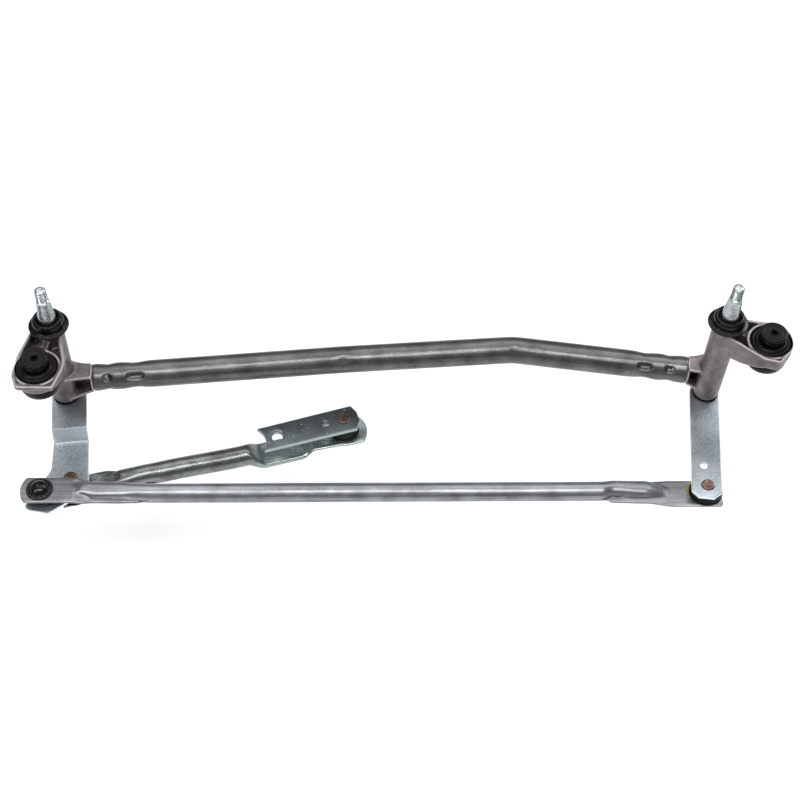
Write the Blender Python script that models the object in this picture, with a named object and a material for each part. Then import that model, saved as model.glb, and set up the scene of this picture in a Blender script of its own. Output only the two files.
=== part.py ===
"""Windshield wiper linkage: two spindle housings on a cross tube, with levers, rods and motor crank.

Every size is in millimetres, and turned into metres when a mesh is made. Z points up along the wiper
spindles, X runs from the left spindle to the right one, and Y points to the cross tube's side.
While the parts are laid out, Z = 0 is the lower end of both spindle barrels, and X = Y = 0 is midway
between the spindles. At the end the whole assembly is moved so that its bounding box is centred.
"""
import math

import bmesh
import bpy
from mathutils import Matrix, Vector

MM = 0.001
GAP = 0.3                      # air between pieces that touch on the real linkage
ROUND = 20                     # sides of a large turned piece
FINE = 12                      # sides of a small turned piece

# Layout
SPINDLE_PITCH = 556.0          # between the two wiper spindles
LINK_BALL = (-12.4, -98.6)     # link ball, from its spindle; the same on both sides: a parallelogram
DRIVE_BALL = (9.8, -79.5)      # drive ball, from the left spindle
CRANK_BALL = (-36.9, -12.7)    # far end of the drive rod
CRANK_THROW = 61.2             # crank ball to motor shaft
CRANK_TURN = 197.2             # degrees, direction of the crank from its ball

# Heights
LEVER_TOP = -1.5
LEFT_LEVER_LEAN = math.radians(6.3)
SHEET = 3.0                    # thickness of both levers and of a flattened rod end
JOGGLE_DROP = 12.0             # how far the left lever steps down
LINK_PLATE_LEFT = -5.4         # middle of the link rod's left end plate
LINK_PLATE_RIGHT = -14.6
LINK_AXIS = -10.2
DRIVE_PLATE_LEFT = -34.5
DRIVE_PLATE_CRANK = -39.0
DRIVE_AXIS_LEFT = -35.0
DRIVE_AXIS_CRANK = -40.0
CRANK_TOP = -20.5
CRANK_SHEET = 4.0

# Spindles and housings
SHAFT_R = 6.0
BARREL_R = 11.0
BARREL_BORE_R = 8.2
BARREL_TOP = 90.0
THREAD_R = 4.7
THREAD_END = 131.0
CONE_END = 118.5
TUBE_R = 11.6
TUBE_WALL = 1.5
TUBE_Z = 22.0
TUBE_LEFT = (-251.0, 0.0)
TUBE_MID = (-38.0, 19.0)       # a slight bend
TUBE_BEND = (110.0, 29.4)
TUBE_RIGHT = (257.5, 6.0)
TUBE_BEND_R = 60.0

# Mounting points, each from its own spindle
LEFT_GROMMET = (-6.5, -39.5)
RIGHT_GROMMET = (34.0, -15.5)
SEAT_Z = 58.0                  # lower face of both grommets and sleeves: what the car body touches
FLOOR_LOW = 76.0
FLOOR_TOP = 80.0
POCKET_FLOOR = 73.0
SEAT_R = 17.2
SCREW_TOP = 95.0

# Rods and ball joints
LINK_TUBE = 16.2
DRIVE_TUBE = 18.6
ROD_WALL = 1.3
PLATE_W = 25.4                 # link rod's end plates
WIDE_PLATE_W = 26.2
DRIVE_PLATE_W = 28.5
CRANK_PLATE_W = 32.0
PLATE_END = 16.4               # centre of a ball to the end of its plate
PLATE_END_R = 21.6             # the end's own curve
CRANK_END = 20.2
BALL_R = 6.3
SOCKET_R = 6.6
SOCKET_NECK_R = 8.3
SMALL_BOOT_R = 13.0
MIDDLE_BOOT_R = 14.0
LARGE_BOOT_R = 15.5
PLATE_HOLE_R = 8.6
RIVET_HOLE_R = 5.3

LEFT = (-SPINDLE_PITCH / 2, 0.0)
RIGHT = (SPINDLE_PITCH / 2, 0.0)


# ---------------------------------------------------------------- scene, materials and placing

def clear_scene():
    for old in list(bpy.data.objects):
        bpy.data.objects.remove(old, do_unlink=True)


def material(name, colour, roughness, metallic):
    mat = bpy.data.materials.new(name)
    mat.use_nodes = True
    shader = mat.node_tree.nodes["Principled BSDF"]
    shader.inputs["Base Color"].default_value = (*colour, 1.0)
    shader.inputs["Roughness"].default_value = roughness
    shader.inputs["Metallic"].default_value = metallic
    return mat


def make_materials():
    return {
        "tube_steel": material("tube_steel", (0.17, 0.17, 0.16), 0.42, 0.9),
        "rod_steel": material("rod_steel", (0.36, 0.37, 0.38), 0.4, 0.9),
        "zinc": material("zinc", (0.42, 0.45, 0.47), 0.45, 0.9),
        "crank_zinc": material("crank_zinc", (0.3, 0.33, 0.33), 0.4, 0.9),
        "cast_alloy": material("cast_alloy", (0.42, 0.39, 0.37), 0.55, 0.8),
        "spindle_zinc": material("spindle_zinc", (0.62, 0.66, 0.66), 0.35, 0.95),
        "bronze": material("bronze", (0.45, 0.3, 0.16), 0.5, 0.9),
        "rivet_copper": material("rivet_copper", (0.33, 0.2, 0.15), 0.5, 0.85),
        "black_plastic": material("black_plastic", (0.02, 0.02, 0.022), 0.3, 0.0),
        "black_rubber": material("black_rubber", (0.03, 0.03, 0.03), 0.65, 0.0),
        "black_steel": material("black_steel", (0.03, 0.03, 0.035), 0.35, 0.6),
    }


def empty(name, xy, parent=None):
    """A pivot: the parent of the pieces that turn about it."""
    pivot = bpy.data.objects.new(name, None)
    bpy.context.collection.objects.link(pivot)
    pivot.location = (xy[0] * MM, xy[1] * MM, 0.0)
    pivot.parent = parent
    return pivot


def finish_mesh(bm, name, mat, parent, at):
    """Turn a bmesh in millimetres into a smooth-shaded object in metres."""
    bmesh.ops.remove_doubles(bm, verts=bm.verts, dist=1e-4)
    bmesh.ops.recalc_face_normals(bm, faces=bm.faces)
    bmesh.ops.scale(bm, vec=(MM, MM, MM), verts=bm.verts)
    mesh = bpy.data.meshes.new(name)
    bm.to_mesh(mesh)
    bm.free()
    mesh.shade_smooth()
    mesh.set_sharp_from_angle(angle=math.radians(35))
    piece = bpy.data.objects.new(name, mesh)
    bpy.context.collection.objects.link(piece)
    piece.location = [value * MM for value in at]
    piece.parent = parent
    if mat:
        mesh.materials.append(mat)
    return piece


def combine(target, tool, operation):
    """Boolean with a hidden tool object that stays in the file."""
    tool.hide_render = True
    tool.display_type = "WIRE"
    modifier = target.modifiers.new(tool.name, "BOOLEAN")
    modifier.object = tool
    modifier.operation = operation
    modifier.solver = "EXACT"


# ---------------------------------------------------------------- shape builders

def turned(name, profile, mat=None, parent=None, at=(0, 0, 0), sides=ROUND, closed=False):
    """Spin a profile of (radius, z) points about Z; a closed profile makes a ring."""
    bm = bmesh.new()
    verts = [bm.verts.new((r, 0.0, z)) for r, z in profile]
    edges = [bm.edges.new(pair) for pair in zip(verts, verts[1:])]
    if closed:
        edges.append(bm.edges.new((verts[-1], verts[0])))
    bmesh.ops.spin(bm, geom=verts + edges, cent=(0, 0, 0), axis=(0, 0, 1),
                   angle=math.tau, steps=sides, use_merge=True)
    return finish_mesh(bm, name, mat, parent, at)


def ring(name, inner, outer, low, high, mat, parent, at=(0, 0, 0), sides=FINE):
    """A plain washer, bush or sleeve."""
    profile = [(inner, low), (outer, low), (outer, high), (inner, high)]
    return turned(name, profile, mat, parent, at, sides, closed=True)


def disc(name, radius, low, high, parent=None, at=(0, 0, 0), sides=ROUND):
    return turned(name, [(0, low), (radius, low), (radius, high), (0, high)], None, parent, at, sides)


def prism(name, outline, low, high, mat=None, parent=None, at=(0, 0, 0)):
    """Extrude an outline from low to high; low may be a function of the outline's point."""
    bm = bmesh.new()
    base = bm.faces.new([bm.verts.new((x, y, high)) for x, y in outline])
    grown = bmesh.ops.extrude_face_region(bm, geom=[base])["geom"]
    for vert in (item for item in grown if isinstance(item, bmesh.types.BMVert)):
        vert.co.z = low(vert.co) if callable(low) else low
    bmesh.ops.triangulate(bm, faces=bm.faces)
    return finish_mesh(bm, name, mat, parent, at)


def arc(centre, radius, start, end, steps):
    """Points on an arc, angles in degrees."""
    angles = [math.radians(start + (end - start) * i / steps) for i in range(steps + 1)]
    return [(centre[0] + radius * math.cos(a), centre[1] + radius * math.sin(a)) for a in angles]


def fillet(points, radii, steps=3):
    """Round each corner of a closed outline with an arc of its own radius."""
    outline = []
    for i, corner in enumerate(points):
        here = Vector(corner)
        back = (Vector(points[i - 1]) - here).normalized()
        ahead = (Vector(points[(i + 1) % len(points)]) - here).normalized()
        half = back.angle(ahead) / 2
        if radii[i] == 0:
            outline.append(tuple(here))
            continue
        centre = here + (back + ahead).normalized() * radii[i] / math.sin(half)
        first = here + back * radii[i] / math.tan(half) - centre
        last = here + ahead * radii[i] / math.tan(half) - centre
        sweep = first.angle_signed(last)
        for k in range(steps + 1):
            turn = Matrix.Rotation(-sweep * k / steps, 2)
            outline.append(tuple(centre + turn @ first))
    return outline


def stadium(width, height, count):
    """A flattened tube's section: flat above and below, round at both sides."""
    radius = min(width, height) / 2
    reach = (width - 2 * radius) / 2
    section = []
    for i in range(count):
        angle = math.tau * (i + 0.5) / count
        side = 1 if math.cos(angle) > 0 else -1
        section.append((side * reach + radius * math.cos(angle), radius * math.sin(angle)))
    return section


def pressed_tube(name, stations, wall, mat, parent, at, turn, count=12):
    """A tube with pressed ends: stations of (distance, width, height, z) from one ball to the other."""
    bm = bmesh.new()
    loops = []
    for inset in (0.0, wall):
        skin = []
        for along, width, height, z in stations:
            section = stadium(width - 2 * inset, height - 2 * inset, count)
            skin.append([bm.verts.new((along, side, z + up)) for side, up in section])
        loops.append(skin)
    for skin in loops:
        for near, far in zip(skin, skin[1:]):
            for i in range(count):
                k = (i + 1) % count
                bm.faces.new((near[i], near[k], far[k], far[i]))
    for end in (0, -1):
        for i in range(count):
            k = (i + 1) % count
            bm.faces.new((loops[0][end][i], loops[0][end][k], loops[1][end][k], loops[1][end][i]))
    rod = finish_mesh(bm, name, mat, parent, at)
    rod.rotation_euler.z = turn
    return rod


# ---------------------------------------------------------------- frame: tube, housings, mountings

def bent_path():
    """Cross tube's axis in the horizontal plane: nearly straight, then one clear bend."""
    points = (TUBE_LEFT, TUBE_MID, TUBE_BEND, TUBE_RIGHT)
    start, middle, corner, end = (Vector((*point, 0)) for point in points)
    back = (middle - corner).normalized()
    ahead = (end - corner).normalized()
    half = back.angle(ahead) / 2
    centre = corner + (back + ahead).normalized() * TUBE_BEND_R / math.sin(half)
    first = corner + back * TUBE_BEND_R / math.tan(half) - centre
    sweep = math.pi - 2 * half
    bend = [centre + Matrix.Rotation(-sweep * i / 5, 3, "Z") @ first for i in range(6)]
    return [start, middle] + bend + [end]


def cross_tube(mats, root):
    """Bent steel tube between the housings, open at both ends."""
    path = bent_path()
    bm = bmesh.new()
    skins = []
    for radius in (TUBE_R, TUBE_R - TUBE_WALL):
        skin = []
        for i, point in enumerate(path):
            along = (path[min(i + 1, len(path) - 1)] - path[max(i - 1, 0)]).normalized()
            side = Vector((-along.y, along.x, 0))
            turn = [math.tau * k / FINE for k in range(FINE)]
            skin.append([bm.verts.new(point + radius * (side * math.cos(a) + Vector((0, 0, math.sin(a)))))
                         for a in turn])
        skins.append(skin)
    for skin in skins:
        for near, far in zip(skin, skin[1:]):
            for i in range(FINE):
                k = (i + 1) % FINE
                bm.faces.new((near[i], near[k], far[k], far[i]))
    for end in (0, -1):
        for i in range(FINE):
            k = (i + 1) % FINE
            bm.faces.new((skins[0][end][i], skins[0][end][k], skins[1][end][k], skins[1][end][i]))
    finish_mesh(bm, "cross_tube", mats["tube_steel"], root, (0, 0, TUBE_Z))


ARMS = {
    # Rim of each cast mounting arm seen from above, from its spindle, with its corner radii, and the
    # pockets that lighten it. The skirt is the lower edge, at the grommet's end and at the barrel.
    "left": {
        "outline": [(6, 5), (-8, 7), (-16.5, -3), (-23.4, -27), (-25.6, -48), (-21.5, -60.6), (8.6, -61.4),
                    (16.4, -38)],
        "radii": [0, 0, 4, 30, 6, 5, 5, 30],
        "rim_top": 83.5,
        "skirt": (79.0, 48.0),
        "pockets": [[(-14.3, -5.5), (-19.5, -23), (-16, -21.8), (-10.5, -20), (-5.4, -19.5), (-3.4, -13.4),
                     (-9.5, -10)],
                    [(-1.2, -13.5), (-2.6, -19.6), (3.2, -22), (7.7, -25.5), (9.6, -28.6), (8.3, -20),
                     (7.1, -13.4), (5.5, -12.4)],
                    [(-24, -50), (-19.6, -57.8), (-12, -58), (-15, -52)],
                    [(1, -58), (6.6, -59), (13.4, -42.5), (8, -50)]],
    },
    "right": {
        "outline": [(-8, -5), (12, -24), (25, -35.5), (38.4, -39.6), (51.8, -22), (51.8, -5), (34, 3.8),
                    (6, 10.5), (-3, 6)],
        "radii": [0, 30, 12, 4, 14, 10, 14, 3, 0],
        "rim_top": 85.0,
        "skirt": (74.0, 64.0),
        "pockets": [[(5.6, -13), (12.6, -20.6), (17.6, -26), (15.2, -21.6), (14.1, -15.5), (14.2, -13.5),
                     (10.6, -8.6)],
                    [(13.4, -2.6), (15.6, -7), (18.7, -2.4), (21.5, 0.4), (23.6, 2.2), (14.5, 5.8),
                     (11.6, 4.6)]],
    },
}


def housing(side, spindle, grommet, mats, root):
    """Die-cast spindle housing: barrel, mounting arm with a grommet seat, and webbed spigot."""
    name = side + "_housing"
    arm = ARMS[side]
    x, y = spindle
    at = (x, y, 0)
    centre = (x + grommet[0], y + grommet[1], 0)
    reach = math.hypot(*grommet)
    skirt_far, skirt_near = arm["skirt"]

    def skirt(co):
        share = (math.hypot(co.x, co.y) - BARREL_R) / (reach + 8 - BARREL_R)
        return skirt_near + (skirt_far - skirt_near) * min(max(share, 0), 1)

    body = prism(name, fillet(arm["outline"], arm["radii"]), skirt, arm["rim_top"], mats["cast_alloy"],
                 root, at)
    seat = turned(name + "_seat_cut", [(0, 40), (SEAT_R, 40), (SEAT_R, FLOOR_LOW), (13.9, FLOOR_LOW),
                                      (13.9, FLOOR_TOP), (SEAT_R + 0.6, FLOOR_TOP), (SEAT_R + 0.6, 95),
                                      (0, 95)], None, root, centre)
    combine(body, seat, "DIFFERENCE")
    for number, outline in enumerate(arm["pockets"]):
        depth = POCKET_FLOOR if number < 2 else FLOOR_TOP
        pocket = prism(f"{name}_pocket_{number}_cut", outline, depth, 95, None, root, at)
        combine(body, pocket, "DIFFERENCE")
    barrel = turned(name + "_barrel_add", [(0, 0), (BARREL_R - 1.2, 0), (BARREL_R, 2.2), (BARREL_R, 60),
                                          (BARREL_R + 0.2, BARREL_TOP), (0, BARREL_TOP)], None, root, at)
    combine(body, barrel, "UNION")
    spigot(name, body, side, spindle, root)
    bore = disc(name + "_bore_cut", BARREL_BORE_R, -5, BARREL_TOP + 5, root, at)
    combine(body, bore, "DIFFERENCE")


def spigot(name, body, side, spindle, root):
    """Plug inside the tube's end, carried by two flanges and a web between barrel and tube."""
    end = TUBE_LEFT if side == "left" else TUBE_RIGHT
    towards = Vector((TUBE_BEND[0] - end[0], TUBE_BEND[1] - end[1])).normalized()
    reach = abs(end[0] - spindle[0])
    turn = math.atan2(towards.y, towards.x)
    at = (end[0], end[1], TUBE_Z)
    collar = 2.0
    back = -(reach - BARREL_R) - 5
    plug = turned(name + "_plug_add", [(0, -collar), (11.2, -collar), (11.2, -GAP), (9.4, -GAP),
                                      (9.4, 30), (8.4, 32), (0, 32)], None, root, at, FINE)
    plug.rotation_euler = (0, math.pi / 2, turn)
    combine(body, plug, "UNION")
    for label, outline, low, high in (
            ("top_add", [(back, -10), (-collar, -7.5), (-collar, 7.5), (back, 12)], 7.1, 10.1),
            ("web_add", [(back, -2), (-collar - 0.7, -2), (-collar - 0.7, 2), (back, 2)], -12, 9)):
        tool = prism(name + "_" + label, outline, low, high, None, root, at)
        tool.rotation_euler.z = turn
        combine(body, tool, "UNION")
    side_view = [(back, -19), (-collar - 0.4, -10.9), (-collar - 0.4, -7.9), (back, -16)]
    foot = prism(name + "_foot_add", side_view, -6.8, 6.8, None, root, at)
    foot.rotation_euler = (math.pi / 2, 0, turn)
    combine(body, foot, "UNION")


def grommet(side, centre, mats, root):
    """Rubber buffer in the arm's seat, with a groove that holds the casting."""
    groove = 13.5
    profile = [(7.0, SEAT_Z + GAP), (12.5, SEAT_Z + GAP), (15.6, SEAT_Z + 2.5), (16.7, SEAT_Z + 6),
               (16.7, FLOOR_LOW - GAP), (groove, FLOOR_LOW - GAP), (groove, FLOOR_TOP + GAP),
               (16.6, FLOOR_TOP + GAP), (16.6, 82), (15.4, 84.6), (12.2, 85.9), (7.0, 85.9)]
    turned(side + "_grommet", profile, mats["black_rubber"], root, (*centre, 0), ROUND, closed=True)
    ring(side + "_mount_sleeve", 3.6, 6.7, SEAT_Z, 85.9, mats["zinc"], root, (*centre, 0))


def star(points, outer, inner):
    """Six-lobed driver recess."""
    return [(r * math.cos(math.pi * i / points), r * math.sin(math.pi * i / points))
            for i in range(2 * points) for r in [outer if i % 2 == 0 else inner]]


def mount_screw(side, centre, mats, root):
    """Captive screw with a broad flanged head."""
    profile = [(0, 48), (2.2, 48), (3.0, 49.2), (3.0, 86.2), (9.9, 86.2), (9.9, 89.4), (8.9, 90.0),
               (8.9, 91.6), (11.3, 92.2), (11.3, 94.4), (10.6, SCREW_TOP), (0, SCREW_TOP)]
    screw = turned(side + "_mount_screw", profile, mats["black_steel"], root, (*centre, 0), FINE)
    recess = prism(side + "_screw_recess_cut", star(6, 3.7, 2.5), 91.5, SCREW_TOP + 2, None, root,
                   (*centre, 0))
    combine(screw, recess, "DIFFERENCE")


def spindle_cap(side, spindle, mats, root):
    """Stepped cap over the barrel's top, with its round seal below the lip."""
    profile = [(11.5, 87), (13.6, 87), (13.8, 88.6), (16.6, 89), (16.6, 90.4), (13.2, 91.6), (12.6, 97),
               (10.4, 98.2), (8.4, 97.2), (8.4, 96.1), (9.6, 96.1), (9.6, BARREL_TOP + GAP),
               (11.5, BARREL_TOP + GAP)]
    turned(side + "_spindle_cap", profile, mats["black_plastic"], root, (*spindle, 0), ROUND, closed=True)
    seal = arc((7.7, 94.4), 1.25, 0, 315, 7)
    turned(side + "_shaft_seal", seal, mats["black_rubber"], root, (*spindle, 0), FINE, closed=True)


def bearings(side, spindle, mats, root):
    """Two sintered bushes in the barrel and the plastic washer between barrel and lever."""
    at = (*spindle, 0)
    for label, low, high in (("_lower_bush", GAP, 22), ("_upper_bush", 66, BARREL_TOP - GAP)):
        ring(side + label, SHAFT_R + GAP, BARREL_BORE_R - GAP, low, high, mats["bronze"], root, at)
    ring(side + "_lower_washer", SHAFT_R + GAP, 11.4, LEVER_TOP + GAP, -GAP, mats["black_plastic"], root, at,
         ROUND)


# ---------------------------------------------------------------- moving pieces

def spindle(side, mats, pivot):
    """Wiper spindle: staked foot, shaft, circlip groove, taper for the arm and threaded end."""
    profile = [(0, -6.8), (5.6, -6.8), (6.6, -6.0), (6.6, -4.8), (5.0, -4.8), (5.0, -1.2), (SHAFT_R, -1.2),
               (SHAFT_R, 91.5), (5.4, 91.5), (5.4, 92.7), (SHAFT_R, 92.7), (SHAFT_R, 96.4), (7.3, 98.2),
               (7.3, 102), (5.3, CONE_END), (THREAD_R, CONE_END + 0.6), (THREAD_R, THREAD_END - 1.2),
               (THREAD_R - 1.2, THREAD_END), (0, THREAD_END)]
    turned(side + "_spindle", profile, mats["spindle_zinc"], pivot, (0, 0, 0), FINE)
    ring(side + "_thrust_washer", SHAFT_R + 0.2, 9.2, BARREL_TOP + GAP, 91.3, mats["zinc"], pivot)
    clip = ring(side + "_circlip", 5.6, 8.6, 91.7, 92.5, mats["black_steel"], pivot)
    mouth = [(0, -1.8), (12, -1.8), (12, 1.8), (0, 1.8)]
    slot = prism(side + "_circlip_gap_cut", mouth, 90, 94, None, pivot)
    combine(clip, slot, "DIFFERENCE")


def ball_stud(name, xy, far_face, near_face, ball_z, mats, pivot):
    """Ball riveted through a lever: rivet head, shoulder, neck and ball, pointing up or down."""
    way = 1 if ball_z > near_face else -1
    reach = abs(ball_z - near_face)
    sheet = abs(near_face - far_face)
    joint = math.asin(3.6 / BALL_R)
    ball = [(BALL_R * math.sin(a), reach - BALL_R * math.cos(a))
            for a in (joint + (math.pi - joint) * i / 5 for i in range(6))]
    ball[-1] = (0, reach + BALL_R)
    profile = [(0, -sheet - 1.0), (5.4, -sheet - 1.0), (6.0, -sheet - 0.7), (6.0, -sheet - GAP),
               (5.0, -sheet - GAP), (5.0, GAP), (6.5, GAP), (6.5, 1.6), (3.6, 1.8)] + ball
    stud = turned(name, profile, mats["rivet_copper"], pivot, (*xy, near_face), FINE)
    if way < 0:
        stud.rotation_euler.x = math.pi
    return stud


def ball_socket(prefix, xy, plate_z, stud_reach, way, boot_r, mats, pivot):
    """Plastic socket snapped into a rod's end plate, and the rubber boot between plate and lever.

    way is +1 when the dome points up and the ball comes from below.
    """
    half = SHEET / 2 + GAP
    cavity = [(SOCKET_R * math.cos(a), SOCKET_R * math.sin(a))
              for a in (math.radians(90 - 128 * i / 6) for i in range(7))]
    cavity[0] = (0, SOCKET_R)
    dome = [(8.1 * math.cos(a), 8.3 * math.sin(a))
            for a in (math.radians(24 + 66 * i / 4) for i in range(5))]
    dome[-1] = (0, 8.3)
    outer = [(9.2, cavity[-1][1]), (9.2, -half), (SOCKET_NECK_R, -half), (SOCKET_NECK_R, half),
             (11.2, half), (11.2, half + 0.9), (10.4, half + 1.4)]
    socket = turned(prefix + "_socket", cavity + outer + dome, mats["black_plastic"], pivot,
                    (*xy, plate_z), FINE)
    top = stud_reach - GAP
    boot_profile = [(9.6, -half), (boot_r - GAP, -half), (boot_r, -half - 2.2), (boot_r - 1.6, -top + 1.2),
                    (boot_r - 2.4, -top), (7.0, -top), (7.0, -6.4), (9.6, -4.8)]
    boot = turned(prefix + "_boot", boot_profile, mats["black_rubber"], pivot, (*xy, plate_z), FINE,
                  closed=True)
    if way < 0:
        socket.rotation_euler.x = math.pi
        boot.rotation_euler.x = math.pi


def drill(piece, name, xy, radius, low, high, parent, sides=FINE):
    hole = disc(name, radius, low, high, parent, (*xy, 0), sides)
    combine(piece, hole, "DIFFERENCE")


def left_lever(mats, pivot):
    """Joggled lever: short blade under the barrel, a step down, and a broad foot for two balls."""
    low = LEVER_TOP - JOGGLE_DROP
    outline = fillet([(-14.4, 14), (-8.9, -36.5), (-7.2, -71.5), (-25.6, -109), (-21.5, -113), (-4.9, -116.5),
                      (26.6, -91), (25.4, -82), (21.0, -37), (15.7, 14)],
                     [10, 60, 12, 3, 4, 2, 6, 40, 60, 10])
    bend = 5.6
    top = [(40, LEVER_TOP), (-36.5, LEVER_TOP), (-36.5 - bend, low), (-130, low)]
    shift = SHEET * math.tan(math.atan2(JOGGLE_DROP, bend) / 2)
    bottom = [(-130, low - SHEET), (-36.5 - bend + shift, low - SHEET), (-36.5 + shift, LEVER_TOP - SHEET),
              (40, LEVER_TOP - SHEET)]
    side_view = top + bottom
    strip = prism("left_lever_strip", [(-z, y) for y, z in side_view], -45, 45, mats["zinc"], pivot)
    strip.name = "left_lever"
    strip.data.name = "left_lever"
    strip.rotation_euler = (0, math.pi / 2, LEFT_LEVER_LEAN)
    plan = prism("left_lever_plan", outline, -40, 20, None, pivot)
    combine(strip, plan, "INTERSECT")
    drill(strip, "left_lever_shaft_cut", (0, 0), RIVET_HOLE_R, -20, 20, pivot)
    drill(strip, "left_lever_link_cut", LINK_BALL, RIVET_HOLE_R, -40, 20, pivot)
    drill(strip, "left_lever_drive_cut", DRIVE_BALL, RIVET_HOLE_R, -40, 20, pivot)


def right_lever(mats, pivot):
    """Flat lever with a chamfered end and a small gauge hole."""
    along = Vector(LINK_BALL).normalized()
    across = Vector((-along.y, along.x))
    left_edge, right_edge, end = -13.5, 11.6, 112.2
    middle = (left_edge + right_edge) / 2
    local = arc((0, middle), right_edge - middle, 90, 270, 10)
    local += [(end - 7, left_edge), (end, left_edge + 5.6), (end, right_edge - 5.6), (end - 7, right_edge)]
    outline = [tuple(along * u + across * v) for u, v in local]
    lever = prism("right_lever", outline, LEVER_TOP - SHEET, LEVER_TOP, mats["zinc"], pivot)
    gauge = tuple(along * 80 + across * -2.9)
    drill(lever, "right_lever_shaft_cut", (0, 0), RIVET_HOLE_R, -20, 20, pivot)
    drill(lever, "right_lever_link_cut", LINK_BALL, RIVET_HOLE_R, -20, 20, pivot)
    drill(lever, "right_lever_gauge_cut", gauge, 3.2, -20, 20, pivot, 16)


def link_rod(mats, pivot):
    """Rod between the two link balls; its ends are pressed flat at different heights."""
    far = SPINDLE_PITCH
    stations = [*reversed(plate_end(0, -1, PLATE_END, PLATE_W, LINK_PLATE_LEFT)),
                (24, PLATE_W, SHEET, LINK_PLATE_LEFT),
                (40, 23.5, 8.5, -7.5),
                (68, 20.0, 10.0, -7.9),
                (84, 17.6, 14.8, -9.6),
                (92, LINK_TUBE, LINK_TUBE, LINK_AXIS),
                (far - 82, LINK_TUBE, LINK_TUBE, LINK_AXIS),
                (far - 68, 22.6, 11.0, -11.0),
                (far - 36, 25.0, 9.0, -12.0),
                (far - 24, WIDE_PLATE_W, SHEET, LINK_PLATE_RIGHT),
                (far + 12, WIDE_PLATE_W, SHEET, LINK_PLATE_RIGHT),
                (far + 13.5, WIDE_PLATE_W - 3.5, SHEET, LINK_PLATE_RIGHT)]
    rod = pressed_tube("link_rod", stations, ROD_WALL, mats["rod_steel"], pivot, (0, 0, 0), 0.0)
    drill(rod, "link_rod_left_cut", (0, 0), PLATE_HOLE_R, -40, 20, pivot)
    drill(rod, "link_rod_right_cut", (far, 0), PLATE_HOLE_R, -40, 20, pivot)


def plate_end(ball, side, end, width, z):
    """Stations that curve a flattened end off, from its corners outwards."""
    stations = []
    for share in (1.0, 0.8, 0.55, 0.25):
        half = share * width / 2
        reach = end - PLATE_END_R + math.sqrt(PLATE_END_R**2 - half**2)
        stations.append((ball + side * reach, 2 * half, SHEET, z))
    return stations


def drive_rod(mats, pivot, far):
    """Rod from the left lever to the crank, pressed low where the crank passes over it."""
    reach = far.length
    turn = math.atan2(far.y, far.x)
    stations = [*reversed(plate_end(0, -1, PLATE_END, DRIVE_PLATE_W, DRIVE_PLATE_LEFT)),
                (24, DRIVE_PLATE_W, SHEET, DRIVE_PLATE_LEFT),
                (40, 25.0, 10.5, DRIVE_AXIS_LEFT),
                (58, DRIVE_TUBE, DRIVE_TUBE, DRIVE_AXIS_LEFT),
                (reach - 88, DRIVE_TUBE, DRIVE_TUBE, DRIVE_AXIS_CRANK),
                (reach - 74, 25.8, 6.2, -46.5),
                (reach - 40, 25.8, 6.2, -46.5),
                (reach - 30, WIDE_PLATE_W, SHEET, DRIVE_PLATE_CRANK),
                (reach - 8, DRIVE_PLATE_W, SHEET, DRIVE_PLATE_CRANK),
                (reach + 2, CRANK_PLATE_W, SHEET, DRIVE_PLATE_CRANK),
                *plate_end(reach, 1, CRANK_END, CRANK_PLATE_W, DRIVE_PLATE_CRANK)]
    rod = pressed_tube("drive_rod", stations, ROD_WALL, mats["rod_steel"], pivot, (0, 0, 0), turn)
    drill(rod, "drive_rod_left_cut", (0, 0), PLATE_HOLE_R, -60, 0, pivot)
    drill(rod, "drive_rod_crank_cut", tuple(far), PLATE_HOLE_R, -60, 0, pivot)


def motor_crank(mats, pivot):
    """Flat crank: round at the ball, hollowed at the motor end, with the tapered shaft hole."""
    length = 74.5
    low = CRANK_TOP - CRANK_SHEET
    tail = arc((length + 16, 0), 19.0, 219.9, 140.1, 6)
    outline = tail + [(-7.5, 13.2), (-12.4, 6.0), (-12.6, -4.5), (-9.5, -12.3)]
    crank = prism("motor_crank", outline, low, CRANK_TOP, mats["crank_zinc"], pivot)
    crank.rotation_euler.z = math.radians(CRANK_TURN)
    along = Vector((math.cos(math.radians(CRANK_TURN)), math.sin(math.radians(CRANK_TURN))))
    drill(crank, "motor_crank_ball_cut", (0, 0), RIVET_HOLE_R, -40, 0, pivot)
    drill(crank, "motor_crank_gauge_cut", tuple(along * 17.3), 3.3, -40, 0, pivot, 16)
    bore = turned("motor_crank_shaft_cut", [(0, low - 5), (4.75, low - 5), (4.75, CRANK_TOP - 1.3),
                                           (6.3, CRANK_TOP + 0.3), (6.3, CRANK_TOP + 5), (0, CRANK_TOP + 5)],
                  None, pivot, (*(along * CRANK_THROW), 0), FINE)
    combine(crank, bore, "DIFFERENCE")


# ---------------------------------------------------------------- assembly

def frame_group(mats, root):
    cross_tube(mats, root)
    for side, place, seat in (("left", LEFT, LEFT_GROMMET), ("right", RIGHT, RIGHT_GROMMET)):
        centre = (place[0] + seat[0], place[1] + seat[1])
        housing(side, place, seat, mats, root)
        grommet(side, centre, mats, root)
        mount_screw(side, centre, mats, root)
        spindle_cap(side, place, mats, root)
        bearings(side, place, mats, root)


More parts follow.
